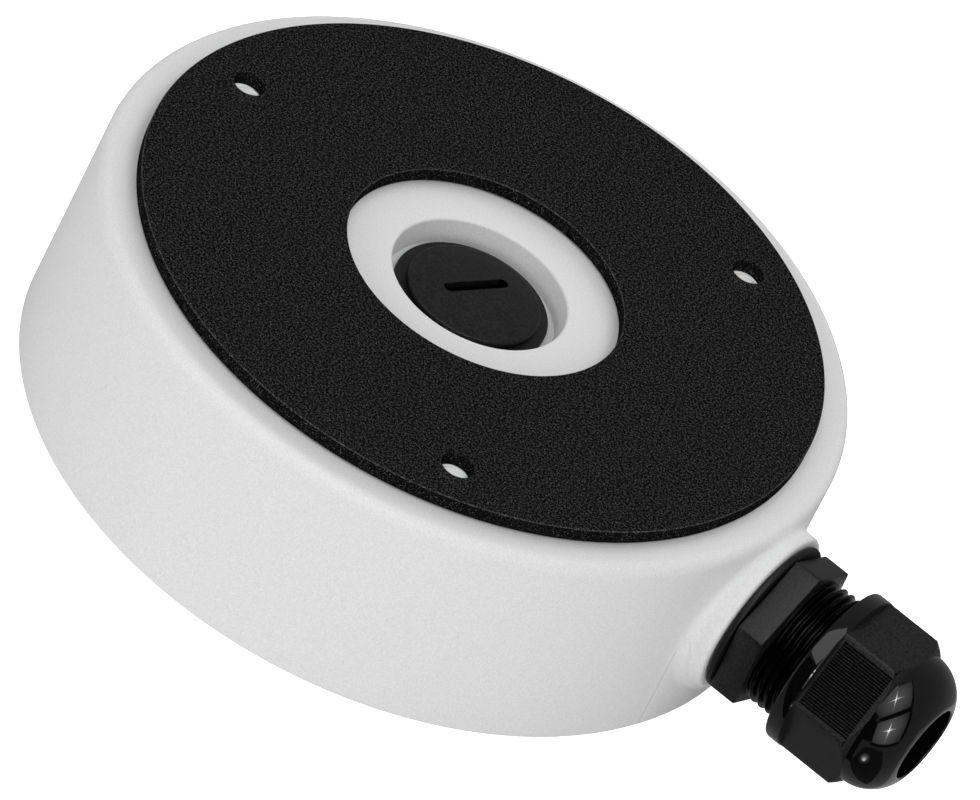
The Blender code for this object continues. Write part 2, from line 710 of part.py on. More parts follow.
def dome_arc():
    """Rounded front from the flats' circle down to the mouth's lip, a little fuller than an ellipse."""
    lip_r = NUT_MOUTH_R + EDGE_BREAK / 2.0
    start = NUT_DOME_X + 2.0 * EDGE_BREAK
    out = []
    for i in range(1, 7):
        a = math.radians(15.0 * i)
        across = math.cos(a) ** 1.25
        out.append((lip_r + (NUT_FLAT_R - lip_r) * across, start + (NUT_FRONT_X - start) * math.sin(a)))
    return out


def rib_grooves(corner):
    """Fine V grooves along three alternate flats."""
    z0 = NUT_FLATS_X + (NUT_FLATS_L - RIB_L) / 2.0 - EDGE_BREAK / 2.0
    grooves = []
    for side in (0, 2, 4):
        facing = corner + math.pi / 6.0 + math.pi / 3.0 * side
        for i in range(RIB_COUNT):
            across = (i - (RIB_COUNT - 1) / 2.0) * RIB_PITCH
            grooves.append(turned(v_groove(across, z0), facing))
    return merge(grooves)


def v_groove(across, z0):
    """Bar with a triangular section whose edge points in to the axis."""
    out = 2.0 * RIB_DEPTH
    half = 0.8 * RIB_PITCH
    bm = bmesh.new()
    ends = []
    for z in (z0, z0 + RIB_L):
        past = NUT_FLAT_R + out
        tri = [(NUT_FLAT_R - RIB_DEPTH, across), (past, across + half), (past, across - half)]
        ends.append([bm.verts.new(Vector((x, y, z))) for x, y in tri])
    for i in range(3):
        j = (i + 1) % 3
        bm.faces.new((ends[0][i], ends[0][j], ends[1][j], ends[1][i]))
    bm.faces.new(ends[0])
    bm.faces.new(ends[1])
    return bm


# Cover


def cover_plate(mat):
    """Recessed lid with the cable passage, the camera's tapped bosses and four screw seats."""
    plate_r = RIM_IN_R - FIT_GAP
    collar_r = COVER_HOLE_R + COLLAR_W
    top = COVER_T + COLLAR_H
    profile = [(COVER_HOLE_R, FIT_GAP), (COVER_HOLE_R + FIT_GAP, 0.0), (plate_r - FIT_GAP, 0.0)]
    profile += [(plate_r, FIT_GAP), (plate_r, COVER_T), (collar_r, COVER_T), (collar_r, top)]
    profile += [(COVER_HOLE_R, top)]
    rim = (0.0, 0.0, RIM_Z)
    cover = add_object("cover_plate", lathe(profile, angles(52), closed=True), mat, rim)
    camera_at = spaced(CAMERA_HOLES, CAMERA_FIRST_DEG, CAMERA_PCD_R)
    boss_r = CAMERA_HOLE_R + CAMERA_BOSS_T
    boss_end = COVER_T + CAMERA_BOSS_H
    bosses = [cylinder(boss_r, COVER_T / 2.0, boss_end, 16, xy) for xy in camera_at]
    taps = [cylinder(CAMERA_HOLE_R, -CUT_PAST, boss_end + CUT_PAST, 12, xy) for xy in camera_at]
    screw_at = spaced(COVER_SCREWS, COVER_SCREW_FIRST_DEG, COVER_SCREW_PCD_R)
    seats = [moved(screw_seat(), x, y) for x, y in screw_at]
    join(cover, add_object("tool_camera_bosses", merge(bosses), location=rim))
    cut(cover, add_object("tool_camera_taps", merge(taps), location=rim))
    cut(cover, add_object("tool_screw_seats", merge(seats), location=rim))


def screw_seat():
    """Countersink and hole that clear the screw by the fit gap all round."""
    head_r = SCREW_R + SCREW_HEAD_W + FIT_GAP
    hole_r = SCREW_R + FIT_GAP
    past = COVER_T + CUT_PAST
    profile = [(0.0, -CUT_PAST), (head_r, -CUT_PAST), (head_r, SCREW_SINK + EDGE_BREAK)]
    profile += [(hole_r, SCREW_SINK + SCREW_HEAD_T - EDGE_BREAK / 2.0), (hole_r, past), (0.0, past)]
    return lathe(profile, angles(12, 0.37))


def cover_seal(mat):
    outer = RIM_IN_R - FIT_GAP
    at = (0.0, 0.0, RIM_Z + COVER_T + SEAT_GAP)
    add_object("cover_seal", ring(outer - SEAL_W, outer, 0.0, SEAL_T, 48), mat, at)


def screw_shape():
    """Countersunk screw, head down at z 0, shank up."""
    head_r = SCREW_R + SCREW_HEAD_W
    head_end = SCREW_HEAD_T - EDGE_BREAK / 2.0
    profile = [(0.0, 0.0), (head_r, 0.0), (head_r, EDGE_BREAK / 2.0), (SCREW_R, head_end)]
    profile += [(SCREW_R, SCREW_L - EDGE_BREAK), (SCREW_R - EDGE_BREAK, SCREW_L), (0.0, SCREW_L)]
    return lathe(profile, angles(12))


def cross_recess(z0, z1):
    """Plus-shaped driver recess."""
    long, half = RECESS_L / 2.0, RECESS_W / 2.0
    arm = [(long, -half), (long, half), (half, half)]
    outline = []
    for quarter in range(4):
        a = quarter * math.pi / 2.0 + 0.2
        outline += [(x * math.cos(a) - y * math.sin(a), x * math.sin(a) + y * math.cos(a)) for x, y in arm]
    return prism(outline, z0, z1)


def cover_screws(mat):
    for number, (x, y) in enumerate(spaced(COVER_SCREWS, COVER_SCREW_FIRST_DEG, COVER_SCREW_PCD_R), 1):
        at = (x, y, RIM_Z + SCREW_SINK)
        screw = add_object(f"cover_screw_{number}", screw_shape(), mat, at)
        cut(screw, add_object(f"tool_recess_{number}", cross_recess(-CUT_PAST, RECESS_D), location=at))


def screw_retainers(mat):
    inner = SCREW_R + RUN_GAP
    z = RIM_Z + COVER_T + SEAT_GAP
    for number, (x, y) in enumerate(spaced(COVER_SCREWS, COVER_SCREW_FIRST_DEG, COVER_SCREW_PCD_R), 1):
        shape = ring(inner, SCREW_R + RETAINER_W, 0.0, RETAINER_T, 14)
        add_object(f"screw_retainer_{number}", shape, mat, (x, y, z))


# Earth terminal


def earth_washer(mat):
    """Toothed ring between the screw head and the post."""
    x, y = polar(EARTH_PCD_R, EARTH_DEG)
    z = RIM_Z + PLATE_Z - EARTH_POST_H - SEAT_GAP - EARTH_WASHER_T
    inner = SCREW_R + RUN_GAP
    outer = SCREW_R + EARTH_WASHER_W

    def radius_at(index, r, z_at, a):
        tooth = round(a / (2.0 * math.pi) * 4 * EARTH_TEETH) % 4 < 2
        return r if index < 2 or tooth else r - EARTH_TOOTH_D

    profile = [(inner, 0.0), (inner, EARTH_WASHER_T), (outer, EARTH_WASHER_T), (outer, 0.0)]
    shape = lathe(profile, angles(4 * EARTH_TEETH), closed=True, radius_at=radius_at)
    add_object("earth_washer", shape, mat, (x, y, z))


def earth_screw(mat):
    """Pan head facing down into the box, shank up in the post."""
    x, y = polar(EARTH_PCD_R, EARTH_DEG)
    at = (x, y, RIM_Z + PLATE_Z - EARTH_POST_H - 2.0 * SEAT_GAP - EARTH_WASHER_T)
    head_r = SCREW_R + EARTH_HEAD_W
    face = -EARTH_HEAD_T
    profile = [(0.0, face), (head_r - 2.0 * EDGE_BREAK, face), (head_r, face + 2.0 * EDGE_BREAK)]
    profile += [(head_r, 0.0), (SCREW_R, 0.0), (SCREW_R, EARTH_SCREW_L - EDGE_BREAK)]
    profile += [(SCREW_R - EDGE_BREAK, EARTH_SCREW_L), (0.0, EARTH_SCREW_L)]
    screw = add_object("earth_screw", lathe(profile, angles(16)), mat, at)
    cut(screw, add_object("tool_earth_recess", cross_recess(face - CUT_PAST, face + RECESS_D), location=at))


def build():
    clear_scene()
    paint = white_powder_coat()
    nylon = black_nylon()
    rubber = black_rubber()
    steel = stainless_steel()
    axis = gland_axis()
    box_body(paint, axis)
    base_gasket(black_foam())
    plug_seal(rubber)
    blanking_plug(nylon)
    gland_washer(rubber, axis)
    gland_body(nylon, axis)
    gland_claw(nylon, axis)
    gland_seal_insert(rubber, axis)
    gland_dome_nut(nylon, axis)
    cover_plate(paint)
    cover_seal(rubber)
    cover_screws(steel)
    screw_retainers(natural_nylon())
    earth_washer(steel)
    earth_screw(steel)


build()
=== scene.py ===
"""Looks for the camera junction box: fine meshes, procedural materials, studio light and camera.

Shapes are written in millimetres and become metres in solid().
Housing shapes have their z measured up from the rim. Gland shapes are turned about +X.
"""
import math

import bmesh
import bpy
import numpy as np
from mathutils import Matrix, Quaternion, Vector

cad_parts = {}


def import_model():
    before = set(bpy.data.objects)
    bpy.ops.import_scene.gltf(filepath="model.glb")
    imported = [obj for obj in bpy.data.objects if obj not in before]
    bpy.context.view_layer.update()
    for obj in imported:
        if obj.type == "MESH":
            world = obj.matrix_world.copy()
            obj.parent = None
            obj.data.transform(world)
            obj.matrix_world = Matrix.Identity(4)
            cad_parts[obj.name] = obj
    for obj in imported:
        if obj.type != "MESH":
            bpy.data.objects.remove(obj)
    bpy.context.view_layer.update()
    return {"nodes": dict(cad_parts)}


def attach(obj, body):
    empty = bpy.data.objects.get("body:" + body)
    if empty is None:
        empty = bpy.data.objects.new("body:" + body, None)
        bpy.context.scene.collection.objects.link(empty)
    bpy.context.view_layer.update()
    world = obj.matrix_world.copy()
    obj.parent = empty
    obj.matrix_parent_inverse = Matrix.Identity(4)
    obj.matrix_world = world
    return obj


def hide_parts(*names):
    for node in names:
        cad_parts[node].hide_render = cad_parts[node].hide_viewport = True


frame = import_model()

MM = 0.001
RIM_Z = -40.3
TAU = 2.0 * math.pi
WHITE = (1.0, 1.0, 1.0, 1.0)

# Housing sizes
BODY_R, DRAFT, BODY_H, EDGE_R = 66.0, 0.4, 37.6, 2.1
PLATE_Z, INNER_R, RIM_IN_R, LEDGE_R = 34.4, 62.7, 63.3, 60.9
SHOULDER_Z, LEDGE_H, SEAT_Z, ENTRY_END_Z = 5.1, 2.5, 32.7, 25.5
COUNTERBORE_R, ENTRY_CUP_R, ENTRY_R, THREAD_R = 15.3, 18.6, 10.3, 9.9
GLAND_Z, BOSS_R, BOSS_FACE, BOSS_INNER, NECK_R = 20.3, 15.2, 68.3, 58.5, 13.5
PAD_HALF, PAD_PROUD = 16.8, 0.25
HOLE_R, GASKET_HOLE_R, GASKET_T = 2.5, 2.8, 2.4
GASKET_R, GASKET_IN = 59.7, 24.2
SLOT_ANGLE = 64.6
# Left between two parts that seat on each other
SEAT_GAP = 0.3

# Gland sizes
PITCH, CREST_R, ROOT_R = 1.5, 11.8, 10.8
FLAT_R, CORNER_R = 12.6, 12.6 / math.cos(math.pi / 6.0)
FLANGE_X, FLANGE_END = 69.9, 74.9
CLAMP_END = 86.2
NUT_X, COLLAR_X, DOME_X, FRONT_X = 81.45, 84.35, 94.55, 102.85
NUT_BORE, MOUTH_R, CONE_END, CONE_R, CONE_L = 12.1, 6.8, 97.75, 8.6, 6.8
CLAW_TIP = 94.85
RIBS, RIB_PITCH, RIB_DEEP = 25, 0.5, 0.4
CLAW_SLITS, SLIT_HALF = 9, 0.4

# Cover and screw sizes
LID_R, LID_T, SEAL_TOP = 62.9, 3.0, 4.8
SCREW_ROOT, SCREW_CREST, SCREW_PITCH = 1.6, 1.9, 0.7
EARTH_HEAD_Z = 30.2


# Meshes


def sweep(rows, close_rows=False):
    """Quads over rows of points, each row a closed loop. End loops are filled unless rows close."""
    rows = np.asarray(rows, float)
    count, around = rows.shape[:2]
    bm = bmesh.new()
    verts = [[bm.verts.new(p) for p in row] for row in rows]
    steps = count if close_rows else count - 1
    for k in range(steps):
        low, high = verts[k], verts[(k + 1) % count]
        for i in range(around):
            j = (i + 1) % around
            bm.faces.new((low[i], low[j], high[j], high[i]))
    if not close_rows:
        bm.faces.new(verts[0])
        bm.faces.new(verts[-1])
    bmesh.ops.remove_doubles(bm, verts=bm.verts, dist=1e-4)
    bmesh.ops.dissolve_degenerate(bm, edges=bm.edges, dist=1e-5)
    bmesh.ops.recalc_face_normals(bm, faces=bm.faces)
    return bm


def ring_at(radii, z, angles):
    """Loop of points at height z. radii is one radius or one for each angle."""
    return np.c_[radii * np.cos(angles), radii * np.sin(angles), np.full(len(angles), z)]


def turn(profile, around, close=False, radius_at=None, shift=0.0):
    """Turns (r, z) points about Z. around is a count or a list of angles."""
    if np.ndim(around):
        angles = np.asarray(around, float)
    else:
        angles = TAU * (np.arange(around) + shift) / around
    rows = []
    for r, z in profile:
        radii = np.array([radius_at(r, a) for a in angles]) if radius_at else r
        rows.append(ring_at(radii, z, angles))
    return sweep(rows, close)


def arc(cx, cz, radius, start, end, steps):
    """Points of a profile on an arc, from and to in degrees."""
    angles = np.radians(np.linspace(start, end, steps + 1))
    return [(cx + radius * math.cos(a), cz + radius * math.sin(a)) for a in angles]


def cylinder(radius, z0, z1, around, at=(0.0, 0.0)):
    bm = turn([(radius, z0), (radius, z1)], around, shift=0.37)
    bmesh.ops.translate(bm, verts=bm.verts, vec=(at[0], at[1], 0.0))
    return bm


def prism(outline, z0, z1):
    return sweep([[(x, y, z) for x, y in outline] for z in (z0, z1)])


def rotated(bm, angle):
    bmesh.ops.rotate(bm, verts=bm.verts, matrix=Matrix.Rotation(angle, 3, "Z"))
    return bm


def polar(radius, deg):
    a = math.radians(deg)
    return radius * math.cos(a), radius * math.sin(a)


def around_axis(count, first, radius):
    """Places evenly round the box's axis, the first one in degrees from +X."""
    return [polar(radius, first + 360.0 * i / count) for i in range(count)]


CEILING_HOLES = around_axis(3, 60.0, 51.2)
CAMERA_BOSSES = around_axis(3, 30.0, 36.0)
COVER_SCREWS = around_axis(4, 45.0, 55.8)
EARTH = polar(38.6, 148.8)


def smooth_step(low, high, value):
    t = min(max((value - low) / (high - low), 0.0), 1.0)
    return t * t * (3.0 - 2.0 * t)


TO_RIM = Matrix.Translation((0.0, 0.0, RIM_Z * MM)) @ Matrix.Scale(MM, 4)
TO_GLAND = (
    Matrix.Translation((0.0, 0.0, (RIM_Z + GLAND_Z) * MM))
    @ Matrix.Rotation(math.pi / 2.0, 4, "Y")
    @ Matrix.Scale(MM, 4)
)


def solid(name, bm, place):
    """Makes an object of a shape, put in its place in metres."""
    bm.transform(place)
    mesh = bpy.data.meshes.new(name)
    bm.to_mesh(mesh)
    bm.free()
    obj = bpy.data.objects.new(name, mesh)
    bpy.context.scene.collection.objects.link(obj)
    return obj


def combine(obj, bm, place, operation):
    """Joins or cuts a shape and keeps the result as the object's mesh."""
    tool = solid("tool", bm, place)
    modifier = obj.modifiers.new("combine", "BOOLEAN")
    modifier.operation = operation
    modifier.object = tool
    shape = obj.evaluated_get(bpy.context.evaluated_depsgraph_get())
    mesh = bpy.data.meshes.new_from_object(shape)
    obj.modifiers.clear()
    old = obj.data
    obj.data = mesh
    bpy.data.meshes.remove(old)
    bpy.data.objects.remove(tool)


def finish_piece(obj, material, body, node, sharp=32.0):
    """Material, smooth shading with edges over sharp degrees, body, and the node it stands in for."""
    obj.data.materials.clear()
    obj.data.materials.append(material)
    obj.data.shade_smooth()
    obj.data.set_sharp_from_angle(angle=math.radians(sharp))
    obj.name = node + "_detail"
    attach(obj, body)
    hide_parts(node)


# Materials


def linear(hex_code):
    """sRGB hex to linear RGBA."""
    out = []
    for i in (0, 2, 4):
        c = int(hex_code[i:i + 2], 16) / 255.0
        out.append(c / 12.92 if c <= 0.04045 else ((c + 0.055) / 1.055) ** 2.4)
    return (*out, 1.0)


def add(tree, kind, inputs=None, **settings):
    """Adds a node, sets its settings, and sets or links its inputs."""
    made = tree.nodes.new(kind)
    for key, value in settings.items():
        setattr(made, key, value)
    for key, value in (inputs or {}).items():
        if isinstance(value, bpy.types.NodeSocket):
            tree.links.new(value, made.inputs[key])
        else:
            made.inputs[key].default_value = value
    return made


def new_material(name, base, roughness, metallic=0.0, specular=0.5):
    mat = bpy.data.materials.new(name)
    mat.use_nodes = True
    tree = mat.node_tree
    shader = tree.nodes["Principled BSDF"]
    shader.inputs["Base Color"].default_value = linear(base)
    shader.inputs["Roughness"].default_value = roughness
    shader.inputs["Metallic"].default_value = metallic
    shader.inputs["Specular IOR Level"].default_value = specular
    mat.diffuse_color = linear(base)
    return mat, tree, shader


def coords(tree):
    return add(tree, "ShaderNodeTexCoord").outputs["Object"]


def noise(tree, where, size_mm, detail=2.0, rough=0.5):
    """Noise whose features are size_mm across."""
    return add(
        tree, "ShaderNodeTexNoise",
        {"Vector": where, "Scale": 1000.0 / size_mm, "Detail": detail, "Roughness": rough},
    ).outputs["Fac"]


def ramp(tree, value, low, high, out_low=0.0, out_high=1.0):
    return add(
        tree, "ShaderNodeMapRange",
        {"Value": value, "From Min": low, "From Max": high, "To Min": out_low, "To Max": out_high},
    ).outputs["Result"]


def mix_colour(tree, factor, first, second):
    """Goes from the first colour, a hex or a socket, to the second by the factor."""
    inputs = {"Factor": factor, "A": first, "B": linear(second)}
    if isinstance(first, str):
        inputs["A"] = linear(first)
    return add(tree, "ShaderNodeMix", inputs, data_type="RGBA").outputs["Result"]


def bump(tree, height, depth_mm, strength, under=None):
    inputs = {"Height": height, "Distance": depth_mm * MM, "Strength": strength}
    if under:
        inputs["Normal"] = under
    return add(tree, "ShaderNodeBump", inputs).outputs["Normal"]


def parting_line_painted_shade(tree, where):
    """1 on the thin line down each side of the pad, where the mould's slide parts on the casting; the
    coat is darkened there as painted shade of the crease along the pad's edge.
    """
    split = add(tree, "ShaderNodeSeparateXYZ", {"Vector": where}).outputs
    side = add(tree, "ShaderNodeMath", {0: split["Y"]}, operation="ABSOLUTE").outputs[0]
    off = add(tree, "ShaderNodeMath", {0: side, 1: PAD_HALF * MM}, operation="SUBTRACT").outputs[0]
    off = add(tree, "ShaderNodeMath", {0: off}, operation="ABSOLUTE").outputs[0]
    line = ramp(tree, off, 0.04 * MM, 0.16 * MM, 1.0, 0.0)
    below = ramp(tree, split["Z"], -24.0 * MM, -22.0 * MM, 1.0, 0.0)
    front = ramp(tree, split["X"], 60.0 * MM, 62.0 * MM)
    both = add(tree, "ShaderNodeMath", {0: line, 1: below}, operation="MULTIPLY").outputs[0]
    return add(tree, "ShaderNodeMath", {0: both, 1: front}, operation="MULTIPLY").outputs[0]


def powder_coat():
    """White polyester powder coat on die-cast aluminium: satin, faint orange peel, fine grain."""
    mat, tree, shader = new_material("white_powder_coat", "E9E9E9", 0.54, specular=0.3)
    where = coords(tree)
    peel = noise(tree, where, 1.6, 1.0)
    grain = noise(tree, where, 0.30, 2.0, 0.6)
    under = bump(tree, peel, 0.04, 0.35)
    tree.links.new(bump(tree, grain, 0.03, 0.7, under), shader.inputs["Normal"])
    tree.links.new(ramp(tree, peel, 0.3, 0.7, 0.48, 0.56), shader.inputs["Roughness"])
    tone = mix_colour(tree, ramp(tree, grain, 0.35, 0.65), "E2E2E2", "EEEEEE")
    # Painted shade: a darker line along the crease at each side of the pad.
    with_painted_crease_shade = mix_colour(tree, parting_line_painted_shade(tree, where), tone, "D2D2D2")
    tree.links.new(with_painted_crease_shade, shader.inputs["Base Color"])
    return mat


def foam(name, dark, light):
    """Black closed-cell EVA foam: matt, with fine lighter specks of its cells and sparse painted glints
    where cut cells would catch the light.
    """
    mat, tree, shader = new_material(name, dark, 1.0, specular=0.0)
    where = coords(tree)
    fine = noise(tree, where, 0.42, 3.0, 0.8)
    cells = add(tree, "ShaderNodeTexVoronoi", {"Vector": where, "Scale": 1000.0 / 0.38})
    specks = ramp(tree, fine, 0.47, 0.62)
    ground = mix_colour(tree, specks, dark, light)
    # Painted highlight: sparse bright dots stand for cells glinting in the light.
    painted_glints = ramp(tree, noise(tree, where, 0.21, 1.0), 0.66, 0.74)
    tree.links.new(mix_colour(tree, painted_glints, ground, "747474"), shader.inputs["Base Color"])
    tree.links.new(bump(tree, cells.outputs["Distance"], 0.08, 0.6), shader.inputs["Normal"])
    return mat


def nylon(name, base, light, roughness, specular, grain, depth):
    """Black moulded nylon with the grain of its mould, grain mm across and depth mm deep."""
    mat, tree, shader = new_material(name, base, roughness, specular=specular)
    where = coords(tree)
    fine = noise(tree, where, grain, 2.0, 0.6)
    tone = mix_colour(tree, ramp(tree, fine, 0.35, 0.65), base, light)
    satin = ramp(tree, fine, 0.3, 0.7, roughness * 0.9, roughness * 1.1)
    tree.links.new(tone, shader.inputs["Base Color"])
    tree.links.new(bump(tree, fine, depth, 0.6), shader.inputs["Normal"])
    tree.links.new(satin, shader.inputs["Roughness"])
    return mat


def rubber():
    """Black nitrile rubber, matt and slightly uneven."""
    mat, tree, shader = new_material("black_rubber", "0C0C0D", 0.5, specular=0.4)
    fine = noise(tree, coords(tree), 0.5, 2.0)
    tree.links.new(bump(tree, fine, 0.02, 0.5), shader.inputs["Normal"])
    tree.links.new(mix_colour(tree, fine, "090909", "101011"), shader.inputs["Base Color"])
    return mat


def steel():
    """A2 stainless screws and washer, turned and tumbled."""
    mat, tree, shader = new_material("stainless_steel", "C6C4BF", 0.3, metallic=1.0)
    fine = noise(tree, coords(tree), 0.25, 2.0)
    tree.links.new(ramp(tree, fine, 0.3, 0.7, 0.24, 0.38), shader.inputs["Roughness"])
    return mat


def natural_nylon():
    """Uncoloured nylon of the screw retainers."""
    mat, tree, shader = new_material("natural_nylon", "CFCCC2", 0.45)
    tone = noise(tree, coords(tree), 1.5, 2.0)
    tree.links.new(mix_colour(tree, tone, "C9C6BB", "D5D2C9"), shader.inputs["Base Color"])
    shader.inputs["Subsurface Weight"].default_value = 0.15
    shader.inputs["Subsurface Radius"].default_value = (0.001, 0.001, 0.001)
    return mat


COAT = powder_coat()
FOAM = foam("black_foam", "080808", "3E3E3E")
# Copies of the foam for the gasket: a darker one as painted shade on its sides, a lighter one as a
# painted highlight on its rounded upper edges.
FOAM_SIDE_PAINTED_SHADE = foam("black_foam_side_painted_shade", "0B0B0B", "202020")
FOAM_EDGE_PAINTED_HIGHLIGHT = foam("black_foam_edge_painted_highlight", "2C2C2C", "585858")
NYLON = nylon("black_nylon", "020202", "1D1D1D", 0.46, 0.36, 0.4, 0.08)
GLOSS = nylon("black_nylon_polished", "070707", "090909", 0.05, 0.5, 1.2, 0.001)
# Darker, less shiny copy of the nylon: painted shade in the threads, the nut's rib grooves and the
# plug's slot.
NYLON_PAINTED_SHADE = nylon("black_nylon_painted_shade", "020202", "040404", 0.16, 0.1, 1.2, 0.002)
RUBBER = rubber()
STEEL = steel()
NATURAL = natural_nylon()


# Housing


def wall_r(z):
    """Radius of the drafted side wall, z mm above the rim."""
    return BODY_R - DRAFT * z / BODY_H


def pad(y, z):
    """Low flat pad on the casting, below the gland's boss."""
    side = 1.0 - smooth_step(PAD_HALF - 0.5, PAD_HALF + 0.5, abs(y))
    return PAD_PROUD * side * smooth_step(-2.0, 2.0, GLAND_Z - z)


FILLET, BOSS_EDGE_R = 1.3, 0.6
BEAD_OUT, BEAD_UP, BEAD_R = 0.7, 0.9, 0.55


def rounded(across, along, edge):
    """Signed distance to a corner with a rounded edge, from the distances to its two faces."""
    u, v = across + edge, along + edge
    return math.hypot(max(u, 0.0), max(v, 0.0)) + min(max(u, v), 0.0) - edge


def blend(first, second, share=1.0):
    """The nearer of two shapes with a fillet between them."""
    h = max(FILLET - abs(first - second), 0.0) / FILLET
    return min(first, second) - h * h * FILLET / 4.0 * share


def casting(p):
    """Signed distance of a point to the housing's outside: cup, boss, and the bead below the boss."""
    x, y, z = p
    swell = pad(y, z) if x > 0.0 else 0.0
    cup = rounded(math.hypot(x, y) - wall_r(z) - swell, z - BODY_H, EDGE_R)
    from_boss = math.hypot(y, z - GLAND_Z)
    shape = blend(cup, rounded(from_boss - BOSS_R, x - BOSS_FACE, BOSS_EDGE_R))
    if x < 55.0:
        return shape
    below = smooth_step(0.05, 0.25, (GLAND_Z - z) / from_boss)
    wall_x = math.sqrt(max(BODY_R * BODY_R - y * y, 0.0))
    bead = math.hypot(from_boss - BOSS_R - BEAD_OUT, x - BEAD_UP - wall_x) - BEAD_R * below
    return blend(shape, bead, below)


SHOOT_FROM = np.array([44.0, 0.0, GLAND_Z])


def cast_out(base):
    """The point of the casting on the ray from inside the boss through base."""
    ray = np.asarray(base) - SHOOT_FROM
    inside, outside = 0.5, 1.6
    while outside - inside > 1e-10:
        middle = (inside + outside) / 2.0
        if casting(SHOOT_FROM + ray * middle) > 0.0:
            outside = middle
        else:
            inside = middle
    return SHOOT_FROM + ray * (inside + outside) / 2.0


# Length of the outside's profile, from the rim round the edge to just inside the base's flat face
STRAIGHT, BEND = BODY_H - EDGE_R, EDGE_R * math.pi / 2.0
LENGTH = STRAIGHT + BEND + 1.2


def outer_profile(share):
    """Point (r, z) on the plain outside, 0 at the rim and 1 at the end of the profile."""
    s = share * LENGTH
    if s <= STRAIGHT:
        return wall_r(s), s
    r = wall_r(STRAIGHT) - EDGE_R
    if s <= STRAIGHT + BEND:
        a = (s - STRAIGHT) / EDGE_R
        return r + EDGE_R * math.cos(a), STRAIGHT + EDGE_R * math.sin(a)
    return r - (s - STRAIGHT - BEND), BODY_H


# The patch of the wall round the boss: HALF rows each way from the boss's middle, at the distances
# in RINGS. Past ROUND_R they squeeze into the space that the wall leaves above and below.
HALF = 40
RINGS = np.interp(
    np.arange(HALF + 1) / HALF,
    [0.0, 0.10, 0.16, 0.30, 0.46, 0.66, 1.0],
    [0.0, 9.0, 12.4, 13.7, 15.4, 18.2, 27.0],
)
PATCH_W, ROUND_R = 27.0, 16.5


def patch_point(i, k):
    """Place (y, share) of row i, k of the patch: rings near the boss that turn square outwards."""
    level = max(abs(i), abs(k))
    if level == 0:
        return 0.0, GLAND_Z / LENGTH
    along_y, along_z = i / level, k / level
    ring = RINGS[level]
    space = LENGTH - GLAND_Z if k > 0 else GLAND_Z
    square_y = along_y * level / HALF * PATCH_W
    square_z = GLAND_Z + along_z * level / HALF * space
    if abs(along_y) == 1.0:
        a = math.atan2(math.tan(along_z * math.pi / 4.0), along_y)
    else:
        a = math.atan2(along_z, math.tan(along_y * math.pi / 4.0))
    squeezed = ROUND_R + (ring - ROUND_R) * max(space - ROUND_R, 0.0) / (PATCH_W - ROUND_R)
    round_y = ring * math.cos(a)
    round_z = GLAND_Z + min(ring, squeezed) * math.sin(a)
    t = smooth_step(17.0, PATCH_W, ring)
    y = round_y * (1.0 - t) + square_y * t
    z = round_z * (1.0 - t) + square_z * t
    return y, z / LENGTH


